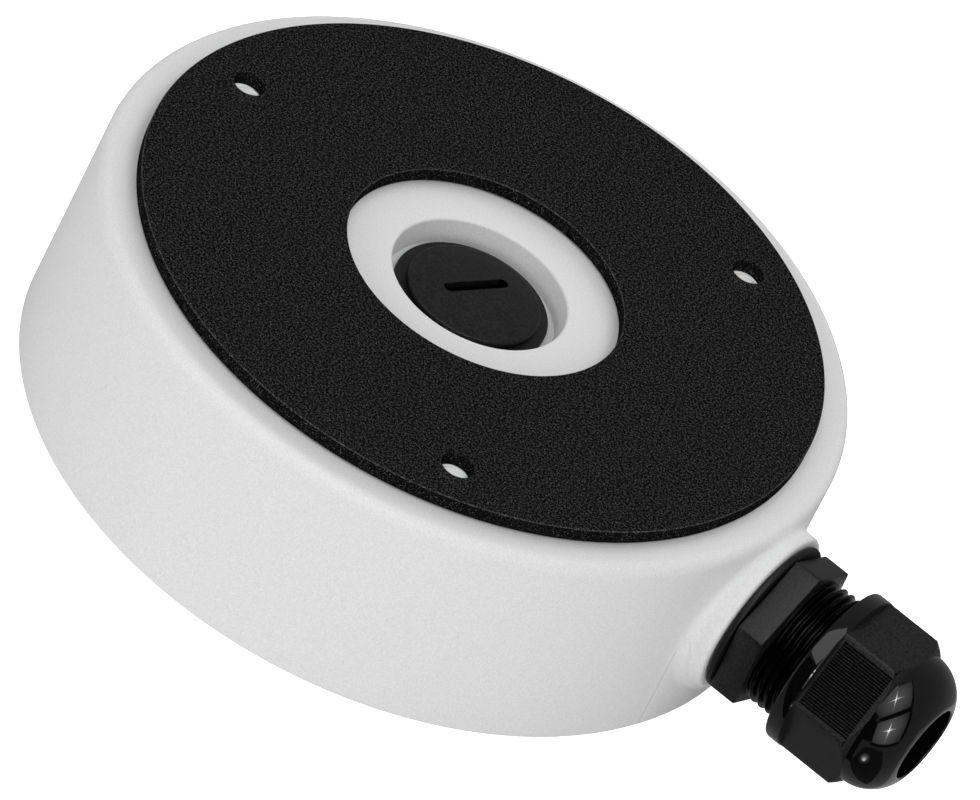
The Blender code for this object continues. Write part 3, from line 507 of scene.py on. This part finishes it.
def housing():
    """Closed grid of the cup whose outer rows carry the blended boss, then its posts and holes."""
    patch_a = math.asin(PATCH_W / BODY_R)
    near = 2 * HALF + 1
    far = np.linspace(patch_a, TAU - patch_a, 120)[1:-1]
    columns = len(far) + near
    rows = []
    for k in range(-HALF, HALF + 1):
        row = np.zeros((columns, 3))
        share = (GLAND_Z + k / HALF * (LENGTH - GLAND_Z if k > 0 else GLAND_Z)) / LENGTH
        r, z = outer_profile(share)
        for i in range(-HALF, HALF + 1):
            y, s = patch_point(i, k)
            rr, zz = outer_profile(s)
            base = (math.sqrt(rr * rr - y * y), y, zz)
            border = max(abs(i), abs(k)) == HALF
            row[i + HALF] = base if border else cast_out(base)
        row[near:, 0] = r * np.cos(far)
        row[near:, 1] = r * np.sin(far)
        row[near:, 2] = z
        rows.append(row)
    at_top, at_rim = (
        np.r_[np.arctan2(row[:near, 1], row[:near, 0]), far] for row in (rows[-1], rows[0])
    )

    top = [(50.0, BODY_H), (34.0, BODY_H), (22.0, BODY_H)]
    top += arc(COUNTERBORE_R + 0.5, BODY_H - 0.5, 0.5, 90.0, 180.0, 5)
    top += [(COUNTERBORE_R - 0.4, SEAT_Z), (ENTRY_R + 0.3, SEAT_Z), (ENTRY_R, SEAT_Z - 0.3)]
    top += [(ENTRY_R, ENTRY_END_Z), (ENTRY_CUP_R, ENTRY_END_Z), (ENTRY_CUP_R, PLATE_Z - 1.0)]
    top += [(ENTRY_CUP_R + 1.0, PLATE_Z), (34.0, PLATE_Z), (50.0, PLATE_Z)]
    top += arc(INNER_R - DRAFT - 2.0, PLATE_Z - 2.0, 2.0, 90.0, 0.0, 4)
    low = [(INNER_R, SHOULDER_Z + 2.0 * LEDGE_H), (LEDGE_R, SHOULDER_Z + LEDGE_H)]
    low += [(LEDGE_R, SHOULDER_Z), (RIM_IN_R, SHOULDER_Z), (RIM_IN_R, 0.25)]
    low += [(RIM_IN_R + 0.25, 0.0), (BODY_R - 0.4, 0.0), (BODY_R - 0.1, 0.15)]
    rows += [ring_at(r, z, at_top) for r, z in top] + [ring_at(r, z, at_rim) for r, z in low]
    body = solid("box_body_detail", sweep(rows, close_rows=True), TO_RIM)
    neck = [(0.0, BOSS_INNER), (NECK_R, BOSS_INNER), (NECK_R, INNER_R + 0.2), (0.0, INNER_R + 0.2)]
    combine(body, turn(neck, 64), TO_GLAND, "UNION")
    for at in COVER_SCREWS:
        combine(body, cylinder(4.2, 4.8, 36.0, 32, at), TO_RIM, "UNION")
        combine(body, cylinder(2.2, 2.0, 15.4, 24, at), TO_RIM, "DIFFERENCE")
    combine(body, cylinder(4.6, PLATE_Z - 2.8, 36.0, 32, EARTH), TO_RIM, "UNION")
    combine(body, cylinder(2.2, PLATE_Z - 5.0, PLATE_Z + 2.4, 24, EARTH), TO_RIM, "DIFFERENCE")
    combine(body, cylinder(ENTRY_R, BOSS_INNER - 2.0, BOSS_FACE + 2.0, 64), TO_GLAND, "DIFFERENCE")
    for at in CEILING_HOLES:
        combine(body, cylinder(HOLE_R, PLATE_Z - 2.0, BODY_H + 2.0, 48, at), TO_RIM, "DIFFERENCE")
    finish_piece(body, COAT, "box", "box_body")


def gasket():
    """Foam ring with die-cut sides whose upper edges are slightly crushed, painted darker on the sides
    as shade and lighter on the edges as a highlight.
    """
    edge = 0.16
    low = BODY_H + SEAT_GAP
    high = low + GASKET_T
    profile = [(GASKET_IN, low), (GASKET_IN, high - edge)]
    profile += arc(GASKET_IN + edge, high - edge, edge, 180.0, 90.0, 3) + [(34.0, high), (45.0, high)]
    profile += arc(GASKET_R - edge, high - edge, edge, 90.0, 0.0, 3) + [(GASKET_R, low)]
    ring = solid("gasket", turn(profile, 240, close=True), TO_RIM)
    for at in CEILING_HOLES:
        hole = cylinder(GASKET_HOLE_R, low - 1.0, high + 1.0, 48, at)
        combine(ring, hole, TO_RIM, "DIFFERENCE")
    finish_piece(ring, FOAM, "box", "base_gasket")
    ring.data.materials.append(FOAM_SIDE_PAINTED_SHADE)
    ring.data.materials.append(FOAM_EDGE_PAINTED_HIGHLIGHT)
    # Painted light by face direction: side faces get the darker painted-shade foam, the rounded upper
    # edges the lighter painted-highlight foam.
    for face in ring.data.polygons:
        if face.normal.z < 0.05:
            face.material_index = 1
        elif face.normal.z < 0.97:
            face.material_index = 2


# Threads and the plug


def thread_rows(root, crest, z0, z1, pitch, around, shape):
    """Rows of a right-hand helical ridge between z0 and z1 that fades out at both ends.

    shape is the ridge's height along one pitch.
    """
    angles = TAU * np.arange(around) / around
    per = len(shape)
    count = int(round((z1 - z0) / pitch * per))
    rows = []
    for k in range(count + 1):
        z = z0 + pitch * k / per
        turned = (k / per - angles / TAU) % 1.0
        height = np.interp(turned * per, np.arange(per + 1), list(shape) + [shape[0]])
        fade = min(1.0, 1.6 * (z - z0) / pitch, 1.6 * (z1 - z) / pitch)
        rows.append(ring_at(root + (crest - root) * height * max(fade, 0.0), z, angles))
    return rows


ROUND_RIDGE = (0.0, 0.06, 0.42, 0.82, 1.0, 1.0, 0.82, 0.42, 0.06, 0.0)
SHARP_RIDGE = (0.0, 0.02, 0.12, 0.45, 0.80, 0.97, 1.0, 0.97, 0.80, 0.45, 0.12, 0.02)


def loops(profile, around):
    angles = TAU * np.arange(around) / around
    return [ring_at(r, z, angles) for r, z in profile]


def plug():
    """Slotted head on a hollow shank with its thread, and the seal under the head."""
    seat = SEAT_Z + 1.6
    end = seat - 10.0
    around = 144
    rows = loops([(0.0, seat - 1.1), (7.2, seat - 1.1), (7.2, end), (8.9, end)], around)
    rows += thread_rows(9.0, THREAD_R, end + 0.3, seat - 0.6, PITCH, around, ROUND_RIDGE)
    top = seat + 1.1
    rows += loops([(9.0, seat), (11.4, seat), (11.6, seat + 0.25)], around)
    rows += loops(arc(11.2, top - 0.4, 0.4, 0.0, 90.0, 5), around)
    rows += loops([(8.0, top), (4.0, top), (0.0, top)], around)
    body = solid("plug", sweep(rows), TO_RIM)
    outline = []
    for side, start in ((1, -90.0), (-1, 90.0)):
        outline += arc(1.2 + side * 5.3, 1.8, 1.0, start, start + 180.0, 8)
    slot = rotated(prism(outline, top - 1.2, top + 2.0), math.radians(SLOT_ANGLE))
    combine(body, slot, TO_RIM, "DIFFERENCE")
    finish_piece(body, NYLON, "plug", "blanking_plug")
    body.data.materials.append(NYLON_PAINTED_SHADE)
    # Painted shade: faces in the slot take the darker nylon.
    for face in body.data.polygons:
        x, y, z = face.center / MM
        if math.hypot(x, y) < 8.5 and top - 1.3 < z - RIM_Z < top - 0.05:
            face.material_index = 1
    z = SEAT_Z + SEAT_GAP
    profile = [(ENTRY_R + 0.2, z), (ENTRY_R + 0.2, z + 1.0), (13.1, z + 1.0)]
    profile += arc(13.2, z + 0.7, 0.3, 90.0, 0.0, 4) + [(13.5, z)]
    ring = turn(profile, 120, close=True)
    bmesh.ops.translate(ring, verts=ring.verts, vec=(-0.2, 0.15, 0.0))
    finish_piece(solid("seal", ring, TO_RIM), RUBBER, "plug_lift", "plug_seal")


# Cable gland


HEX_SIDE = math.pi / 3.0


def gland_angle(deg):
    """Angle about the gland's axis, from degrees measured in the photo's view of it."""
    return math.radians(deg + 90.0)


def hex_r(a, corner):
    """Radius of the hexagon at angle a."""
    return FLAT_R / math.cos((a - corner) % HEX_SIDE - HEX_SIDE / 2.0)


def gland():
    """Washer, and the gland's body: entry thread, spanner flange and clamping thread."""
    x = BOSS_FACE + SEAT_GAP
    profile = [(ENTRY_R, x), (ENTRY_R, x + 1.0)] + arc(13.6, x + 0.6, 0.4, 90.0, 0.0, 4)
    profile += arc(13.75, x + 0.25, 0.25, 0.0, -90.0, 3)
    washer = solid("washer", turn(profile, 120, close=True), TO_GLAND)
    finish_piece(washer, RUBBER, "box", "gland_washer")

    corner = gland_angle(97.2)
    around = 144
    rows = loops([(7.0, BOSS_INNER - 1.2), (9.0, BOSS_INNER - 1.2)], around)
    rows += thread_rows(9.0, THREAD_R, BOSS_INNER - 0.9, FLANGE_X - 1.0, PITCH, around, ROUND_RIDGE)
    rows += loops([(9.0, FLANGE_X + 1.0), (ROOT_R, FLANGE_END - 1.0)], around)
    start, end = FLANGE_END - 0.7, CLAMP_END - 0.2
    rows += thread_rows(ROOT_R, CREST_R, start, end, PITCH, around, SHARP_RIDGE)
    rows += loops([(ROOT_R - 0.2, CLAMP_END), (9.0, CLAMP_END)], around)
    rows += loops([(9.0, FLANGE_END + 3.0), (7.0, FLANGE_END + 1.5)], around)
    body = solid("gland", sweep(rows, close_rows=True), TO_GLAND)
    angles = []
    for face in range(6):
        start = corner + HEX_SIDE * face
        angles += [start - 0.012, start, start + 0.012]
        angles += list(start + HEX_SIDE * np.arange(1, 12) / 12.0)
    # Radii here are measured from the hexagon, outwards
    profile = [(-2.8, FLANGE_X), (-0.3, FLANGE_X), (-0.1, FLANGE_X + 0.08), (0.0, FLANGE_X + 0.3)]
    profile += [(0.0, FLANGE_END - 0.3), (-0.08, FLANGE_END - 0.1)]
    profile += [(-0.3, FLANGE_END), (-2.8, FLANGE_END)]

    def flange_r(r, a):
        return min(hex_r(a, corner), CORNER_R - 0.06) + r

    combine(body, turn(profile, angles, close=True, radius_at=flange_r), TO_GLAND, "UNION")
    finish_piece(body, NYLON, "box", "gland_body", 28.0)
    body.data.materials.append(NYLON_PAINTED_SHADE)
    # Painted shade: the clamping thread in front of the flange takes the darker nylon.
    for face in body.data.polygons:
        if face.center.x > (FLANGE_END + 0.1) * MM:
            face.material_index = 1


def nut():
    """Collar, six flats with three ribbed, and a polished dome."""
    corner = gland_angle(116.5)
    rib_edge = math.atan2(RIBS * RIB_PITCH / 2.0, FLAT_R)
    # Angle of each column, and 1 where it lies in a groove
    columns = []
    for face in range(6):
        middle = corner + HEX_SIDE * (face + 0.5)
        if face % 2:
            columns += [(middle + o, 0.0) for o in np.linspace(-0.5, 0.5, 17)[:-1] * HEX_SIDE]
            continue
        columns += [(middle + o, 0.0) for o in np.linspace(-HEX_SIDE / 2.0, -rib_edge, 4)[:-1]]
        for rib in range(RIBS):
            start = (rib - RIBS / 2.0) * RIB_PITCH
            for across, deep in ((0.0, 0.0), (0.12, 0.0), (0.18, 1.0), (0.44, 1.0)):
                columns.append((middle + math.atan2(start + across, FLAT_R), deep))
        columns += [(middle + o, 0.0) for o in np.linspace(rib_edge, HEX_SIDE / 2.0, 4)[:-1]]
    turns, groove = np.array(columns).T
    hexagon = np.array([hex_r(a, corner) for a in turns])
    edge_r = CORNER_R - 0.08

    def flats(x, ribbed=0.0):
        """Loop of the six flats, whose corners round off towards the dome."""
        t = min(max((x - DOME_X + 0.4) / 1.6, 0.0), 1.0)
        cap = FLAT_R + (edge_r - FLAT_R) * (1.0 - t) ** 0.8
        cut = RIB_DEEP * groove * ribbed * hexagon / FLAT_R
        return ring_at(np.minimum(hexagon, cap) - cut, x, turns)

    def plain(profile):
        return [ring_at(r, x, turns) for r, x in profile]

    rows = plain([(NUT_BORE + 0.5, NUT_X), (CORNER_R - 0.5, NUT_X), (CORNER_R - 0.15, NUT_X + 0.15)])
    rows += plain([(CORNER_R, NUT_X + 0.5), (CORNER_R, COLLAR_X - 0.15), (CORNER_R - 0.1, COLLAR_X)])
    rib_start, rib_end, dome_start = COLLAR_X + 0.5, DOME_X + 0.2, DOME_X + 1.2
    rows += [flats(COLLAR_X + 0.15), flats(rib_start), flats(rib_start + 0.1, 1.0)]
    rows += [flats(x, 1.0) for x in np.linspace(rib_start + 1.0, DOME_X - 0.4, 8)]
    rows += [flats(x, 1.0) for x in (DOME_X - 0.2, DOME_X - 0.1, rib_end - 0.1)]
    rows += [flats(x) for x in (rib_end, *np.linspace(rib_end + 0.1, dome_start, 7))]
    lip = MOUTH_R + 0.25
    for a in np.radians(90.0 * np.arange(1, 29) / 28.0):
        r = lip + (FLAT_R - lip) * max(math.cos(a), 0.0) ** 1.25
        rows += plain([(r, dome_start + (FRONT_X - dome_start) * math.sin(a))])
    rows += plain(arc(lip, FRONT_X - 0.25, 0.25, 90.0, 180.0, 5)[1:])
    rows += plain([(MOUTH_R, CONE_END + 1.0), (CONE_R, CONE_END)])
    rows += plain([(NUT_BORE, CONE_END - CONE_L), (NUT_BORE, NUT_X + 0.5)])
    body = solid("nut", sweep(rows, close_rows=True), TO_GLAND)
    finish_piece(body, NYLON, "dome_nut", "gland_dome_nut", 26.0)
    body.data.materials.append(GLOSS)
    body.data.materials.append(NYLON_PAINTED_SHADE)
    normals = [corner + HEX_SIDE * (face + 0.5) - math.pi / 2.0 for face in range(6)]
    for face in body.data.polygons:
        x, y, z = face.center / MM
        z -= RIM_Z + GLAND_Z
        out = max(y * math.cos(n) + z * math.sin(n) for n in normals)
        if NUT_X + 0.1 < x < COLLAR_X - 0.05 or x > dome_start + 0.05:
            face.material_index = 1
        # Painted shade: the bottoms of the rib grooves take the darker nylon.
        elif rib_start < x < rib_end and out < FLAT_R - 0.25:
            face.material_index = 2


def clamp():
    """Fingered claw and the rubber sleeve in it."""
    base, root, bend, tip = CLAMP_END + 0.3, CLAMP_END + 1.9, CLAW_TIP - 2.0, CLAW_TIP

    def finger_r(x):
        """The outside of the fingers, 0.4 mm inside the nut's cone."""
        share = min(max((CONE_END - x) / CONE_L, 0.0), 1.0)
        return CONE_R + (NUT_BORE - CONE_R) * share - 0.4

    end_r = finger_r(tip)
    profile = [(9.0, base), (10.55, base), (10.8, base + 0.25), (10.8, root), (finger_r(bend), bend)]
    profile += [(end_r - 0.15, tip - 0.1), (end_r - 0.4, tip), (end_r - 1.1, tip), (9.5, root)]
    claw = solid("claw", turn(profile, 144, close=True, shift=0.2), TO_GLAND)
    outline = [(5.0, -SLIT_HALF), (13.0, -SLIT_HALF), (13.0, SLIT_HALF), (5.0, SLIT_HALF)]
    for i in range(CLAW_SLITS):
        slit = rotated(prism(outline, root, tip + 1.0), TAU * (i + 0.1) / CLAW_SLITS)
        combine(claw, slit, TO_GLAND, "DIFFERENCE")
    finish_piece(claw, NYLON, "gland_clamp", "gland_claw")

    x0, x1 = FLANGE_END + 3.6, CLAW_TIP - 0.9
    profile = [(5.7, x0), (5.3, x0 + 0.4), (5.2, x0 + 1.0), (5.2, x1 - 1.0), (5.3, x1 - 0.4), (5.7, x1)]
    profile += [(7.0, x1), (7.25, x1 - 0.2), (8.6, CLAMP_END + 2.1), (8.6, x0)]
    insert = solid("insert", turn(profile, 96, close=True), TO_GLAND)
    finish_piece(insert, RUBBER, "gland_clamp", "gland_seal_insert")


# Cover and small metal parts


def cover():
    """Recessed lid with its cable passage, tapped camera bosses and countersinks."""
    profile = arc(13.5, 0.5, 0.5, 180.0, 270.0, 4) + [(30.0, 0.0), (50.0, 0.0)]
    profile += arc(LID_R - 0.4, 0.4, 0.4, 270.0, 360.0, 4) + [(LID_R, LID_T), (15.2, LID_T)]
    profile += [(15.2, SEAL_TOP - 0.2), (15.0, SEAL_TOP), (13.2, SEAL_TOP), (13.0, SEAL_TOP - 0.2)]
    lid = solid("lid", turn(profile, 200, close=True), TO_RIM)
    for at in CAMERA_BOSSES:
        combine(lid, cylinder(3.6, 1.5, 8.0, 36, at), TO_RIM, "UNION")
        combine(lid, cylinder(1.7, -2.0, 10.0, 32, at), TO_RIM, "DIFFERENCE")
    countersink = [(0.0, -2.0), (4.2, -2.0), (4.2, 0.9), (2.3, 2.35), (2.3, 5.0), (0.0, 5.0)]
    for x, y in COVER_SCREWS:
        seat = turn(countersink, 48, shift=0.37)
        bmesh.ops.translate(seat, verts=seat.verts, vec=(x, y, 0.0))
        combine(lid, seat, TO_RIM, "DIFFERENCE")
    finish_piece(lid, COAT, "box", "cover_plate")
    low, inner = LID_T + SEAT_GAP, LID_R - 1.4
    profile = [(inner, low), (inner, SEAL_TOP), (LID_R, SEAL_TOP), (LID_R, low)]
    seal = solid("seal", turn(profile, 160, close=True), TO_RIM)
    finish_piece(seal, RUBBER, "box", "cover_seal")


def cross(z0, z1):
    """Cross recess for a screwdriver."""
    outline = []
    for quarter in range(4):
        a = quarter * math.pi / 2.0 + 0.2
        for x, y in ((1.9, -0.4), (1.9, 0.4), (0.4, 0.4)):
            outline.append((x * math.cos(a) - y * math.sin(a), x * math.sin(a) + y * math.cos(a)))
    return prism(outline, z0, z1)


def screw(head, thread_start, thread_end, recess, at, node):
    """Turned head, thread and point, with a cross recess."""
    around = 48
    rows = loops(head, around)
    rows += thread_rows(
        SCREW_ROOT, SCREW_CREST, thread_start, thread_end, SCREW_PITCH, around, ROUND_RIDGE,
    )
    rows += loops([(1.3, thread_end + 0.6), (0.0, thread_end + 0.6)], around)
    body = solid("screw", sweep(rows), at)
    combine(body, cross(*recess), at, "DIFFERENCE")
    finish_piece(body, STEEL, "box", node)


def screws():
    """Countersunk cover screws with their retainers, and the pan-headed earth screw."""
    head = [(0.0, 0.0), (3.5, 0.0), (3.7, 0.06), (3.8, 0.2), (1.9, 1.95)]
    retainer = [(2.2, 3.3), (2.2, 4.2), (3.5, 4.2), (3.6, 4.1), (3.6, 3.4), (3.5, 3.3)]
    for number, (x, y) in enumerate(COVER_SCREWS, 1):
        at = TO_RIM @ Matrix.Translation((x, y, 0.4))
        screw(head, 2.6, 13.4, (-1.0, 1.0), at, f"cover_screw_{number}")
        place = TO_RIM @ Matrix.Translation((x, y, 0.0))
        ring = solid("retainer", turn(retainer, 48, close=True), place)
        finish_piece(ring, NATURAL, "box", f"screw_retainer_{number}")
    head = [(0.0, -2.4), (2.6, -2.4)] + arc(2.8, -1.6, 0.8, -90.0, 0.0, 5) + [(3.6, 0.0), (1.9, 0.0)]
    at = TO_RIM @ Matrix.Translation((*EARTH, EARTH_HEAD_Z))
    screw(head, 0.3, 5.4, (-4.0, -1.4), at, "earth_screw")


housing()
gasket()
plug()
gland()
nut()
clamp()
cover()
screws()
frame["nodes"]["earth_washer"].data.materials.clear()
frame["nodes"]["earth_washer"].data.materials.append(STEEL)


# Floor, light and camera


def towards(azimuth, elevation):
    """Direction from degrees measured from +X towards +Y, and up."""
    a, e = math.radians(azimuth), math.radians(elevation)
    return Vector((math.cos(e) * math.cos(a), math.cos(e) * math.sin(a), math.sin(e)))


def spot(azimuth, elevation, radius):
    """Corners of a round panel."""
    angles = TAU * np.arange(12) / 12
    wide = radius / math.cos(math.radians(elevation))
    return [(azimuth + wide * math.cos(a), elevation + radius * math.sin(a)) for a in angles]


AMBIENT = 0.12
# Soft lamps: azimuth, elevation, watts
LAMP_AWAY, LAMP_SIDE = 1.6, 1.1
LAMPS = (
    (-70.0, 12.0, 7.9), (-110.0, 12.0, 4.1), (-150.0, 12.0, 6.1), (-30.0, 12.0, 3.3),
    (-30.0, 35.0, 2.3), (90.0, 35.0, 9.6), (0.0, 68.0, 5.2), (180.0, 68.0, 5.6),
)
HOLE_LIGHT = (-71.0, 42.0)

# What the dome mirrors: two soft boxes with the cross of their cloth, their black edges, the dark
# under the box and the spot of a lamp. DOME is the point they are seen from.
# Each panel: (azimuth, elevation) corners, strength, distance in mm. One that fades away from its
# cross also has the middle, the degrees it fades over, the strength there and the power of the fade.
DOME = Vector((97.0, -4.0, -18.0))
FAR = 1500.0
UPPER, LOWER = (-70.5, 63.4), (-46.6, 14.4)
CARDS = (
    (((-98, 31), (-112, 55), (-130, 80), (70, 76), (-11, 44), (-80, 28)), 1.9, FAR, UPPER, 38, 0.35, 1),
    (((-78, 21), (-11, 36), (-14, -6), (-68, -9)), 2.1, FAR, LOWER, 34, 0.4, 1),
    (((-92, 52.6), (-30, 69.6), (-33, 67.8), (-92, 50.8)), 26.0, 700.0, UPPER, 26, 1.6, 4),
    (((-60, 44), (-57.2, 44), (-94, 76), (-101, 75.5)), 30.0, 650.0, UPPER, 26, 1.8, 4),
    (((-49.8, 27), (-47.4, 27.5), (-42.8, -5), (-45, -5)), 30.0, 90.0, LOWER, 22, 2.4, 4),
    (((-64, 10.6), (-30, 18.8), (-30, 16.6), (-64, 8.4)), 26.0, 100.0, LOWER, 22, 1.4, 4),
    (((-80, 28), (-11, 44), (-11, 36), (-78, 21)), 0.0, FAR),
    (((70, 76), (84, 77), (-5, 42.5), (-11, 44)), 0.0, FAR),
    (((-11, 44), (-5, 42.5), (-8, -5), (-14, -6)), 0.0, FAR),
    (((-14, -6), (-10, -9), (-72, -13), (-68, -9)), 0.0, FAR),
    (((-78, 21), (-68, -9), (-96, -12), (-97, 21)), 0.0, FAR),
    (((-94, -47), (-78, -20), (-60, -16), (-36, -19), (-21, -40), (-3, -75)), 0.04, FAR),
    (spot(-66.0, -35.5, 9.0), 0.35, 40.0),
    (spot(-66.5, -35.5, 6.5), 1.0, 37.0),
    (spot(-66.8, -35.5, 4.6), 2.8, 34.0),
    (spot(-67.0, -35.5, 2.8), 8.0, 30.0),
    (((-109, 31), (-150, 31), (160, 72), (-100, 75)), 1.6, FAR),
    (((-88, 29), (-130, 29), (-130, -40), (-92, -50)), 0.0, FAR),
    (((25, -12), (135, -12), (135, -70), (60, -73), (25, -50)), 0.5, FAR),
)


def seen_white(tree):
    """1 for the rays that should meet the white background: the camera's, and off metal and glass."""
    path = add(tree, "ShaderNodeLightPath").outputs
    rays = path["Is Camera Ray"]
    for kind in ("Is Glossy Ray", "Is Transmission Ray"):
        rays = add(tree, "ShaderNodeMath", {0: rays, 1: path[kind]}, operation="MAXIMUM").outputs[0]
    return rays


def stage_material(name):
    """Empty material and the socket its surface goes into."""
    mat = bpy.data.materials.new(name)
    mat.use_nodes = True
    mat.node_tree.nodes.clear()
    return mat, mat.node_tree, add(mat.node_tree, "ShaderNodeOutputMaterial").inputs["Surface"]


def floor():
    """White floor that stays white to the camera and keeps a soft shadow."""
    bm = bmesh.new()
    bmesh.ops.create_grid(bm, x_segments=1, y_segments=1, size=6000.0)
    bmesh.ops.translate(bm, verts=bm.verts, vec=(0.0, 0.0, -0.05))
    ground = solid("floor", bm, TO_RIM)
    mat, tree, surface = stage_material("white_floor")
    glow = add(tree, "ShaderNodeEmission", {"Color": WHITE, "Strength": seen_white(tree)})
    paint = add(tree, "ShaderNodeBsdfDiffuse", {"Color": linear("EDEDED")})
    both = add(tree, "ShaderNodeAddShader", {0: glow.outputs[0], 1: paint.outputs[0]})
    tree.links.new(both.outputs[0], surface)
    ground.data.materials.append(mat)


def world():
    """Faint even light, and a white background to the camera."""
    sky = bpy.data.worlds.new("studio")
    bpy.context.scene.world = sky
    sky.use_nodes = True
    tree = sky.node_tree
    tree.nodes.clear()
    soft = add(tree, "ShaderNodeBackground", {"Color": WHITE, "Strength": AMBIENT}).outputs[0]
    white = add(tree, "ShaderNodeBackground", {"Color": WHITE, "Strength": 1.0}).outputs[0]
    both = add(tree, "ShaderNodeMixShader", {0: seen_white(tree), 1: soft, 2: white})
    out = add(tree, "ShaderNodeOutputWorld")
    tree.links.new(both.outputs[0], out.inputs["Surface"])


def fading(tree, strength, middle, reach, end, power):
    """Strength that falls from the middle of a soft box to its end, by the angle seen from DOME."""
    ray = add(tree, "ShaderNodeVectorMath", {0: coords(tree), 1: DOME * MM}, operation="SUBTRACT")
    ray = add(tree, "ShaderNodeVectorMath", {0: ray.outputs[0]}, operation="NORMALIZE").outputs[0]
    near = add(tree, "ShaderNodeVectorMath", {0: ray, 1: towards(*middle)}, operation="DOT_PRODUCT")
    angle = add(tree, "ShaderNodeMath", {0: near.outputs["Value"]}, operation="ARCCOSINE").outputs[0]
    share = ramp(tree, angle, 0.0, math.radians(reach), 1.0, 0.0)
    share = add(tree, "ShaderNodeMath", {0: share, 1: power}, operation="POWER").outputs[0]
    return ramp(tree, share, 0.0, 1.0, end, strength)


def mirrored(obj, strength, *fade):
    """Stage piece that shows only as a reflection."""
    mat, tree, surface = stage_material(obj.name)
    glow = {"Color": WHITE, "Strength": fading(tree, strength, *fade) if fade else strength}
    tree.links.new(add(tree, "ShaderNodeEmission", glow).outputs[0], surface)
    obj.data.materials.append(mat)
    obj.visible_camera = False
    obj.visible_diffuse = False
    obj.visible_transmission = False
    obj.visible_shadow = False


def room():
    """Grey room that the photo's black nylon mirrors. Right under the box the floor stays white."""
    wide = 5500.0
    bm = turn([(60.0, 0.0), (wide, 0.0)] + arc(0.0, 0.0, wide, 10.0, 80.0, 7), 48)
    under = [f for f in bm.faces if len(f.verts) > 4 and f.calc_center_median().z < 1.0]
    bmesh.ops.delete(bm, geom=under, context="FACES")
    bmesh.ops.translate(bm, verts=bm.verts, vec=(0.0, 0.0, -0.03))
    mirrored(solid("room", bm, TO_RIM), 0.23)


def card(name, corners, strength, distance, *fade):
    """Panel that shows only as a reflection, kept above the floor."""
    bm = bmesh.new()
    verts = []
    for corner in corners:
        ray = towards(*corner)
        reach = min(distance, -22.0 / ray.z) if ray.z < -0.02 else distance
        verts.append(bm.verts.new(DOME + ray * reach))
    bm.faces.new(verts)
    mirrored(solid(name, bm, Matrix.Scale(MM, 4)), strength, *fade)


def light(name, kind, watts, ray, at):
    """Lamp at a place, shining back along ray, that no surface mirrors."""
    data = bpy.data.lights.new(name, kind)
    data.energy = watts
    obj = bpy.data.objects.new(name, data)
    bpy.context.scene.collection.objects.link(obj)
    obj.location = at
    obj.rotation_euler = ray.to_track_quat("Z", "Y").to_euler()
    obj.visible_glossy = False
    return data


def lamp(name, azimuth, elevation, watts):
    """Soft box that looks at the object."""
    ray = towards(azimuth, elevation)
    data = light(name, "AREA", watts, ray, ray * LAMP_AWAY)
    data.shape = "SQUARE"
    data.size = LAMP_SIDE


def hole_lamp(name, x, y):
    """Narrow spot on the far wall of a ceiling screw's hole, which is bright in the photo."""
    ray = towards(*HOLE_LIGHT)
    wall = Vector((x, y, -2.8)) - 2.0 * towards(HOLE_LIGHT[0], 0.0)
    data = light(name, "SPOT", 3.0, ray, wall * MM + ray * 0.3)
    data.spot_size, data.spot_blend, data.shadow_soft_size = math.radians(1.0), 0.4, 0.001


def camera():
    """The photograph's camera, from circles fitted to it."""
    data = bpy.data.cameras.new("camera")
    data.sensor_fit = "HORIZONTAL"
    data.sensor_width = 36.0
    data.lens = 348.979
    data.clip_start, data.clip_end = 0.05, 60.0
    obj = bpy.data.objects.new("camera", data)
    bpy.context.scene.collection.objects.link(obj)
    obj.location = (0.401824, -1.185718, 0.899761)
    obj.rotation_mode = "QUATERNION"
    obj.rotation_quaternion = Quaternion((0.82235, 0.449552, -0.036277, 0.346883))
    bpy.context.scene.camera = obj


floor()
world()
room()
for number, values in enumerate(CARDS, 1):
    card(f"card_{number}", *values)
for number, values in enumerate(LAMPS, 1):
    lamp(f"lamp_{number}", *values)
for number, (x, y) in enumerate(CEILING_HOLES, 1):
    hole_lamp(f"hole_lamp_{number}", x, y)
camera()

scene = bpy.context.scene
scene.view_settings.view_transform = "Standard"
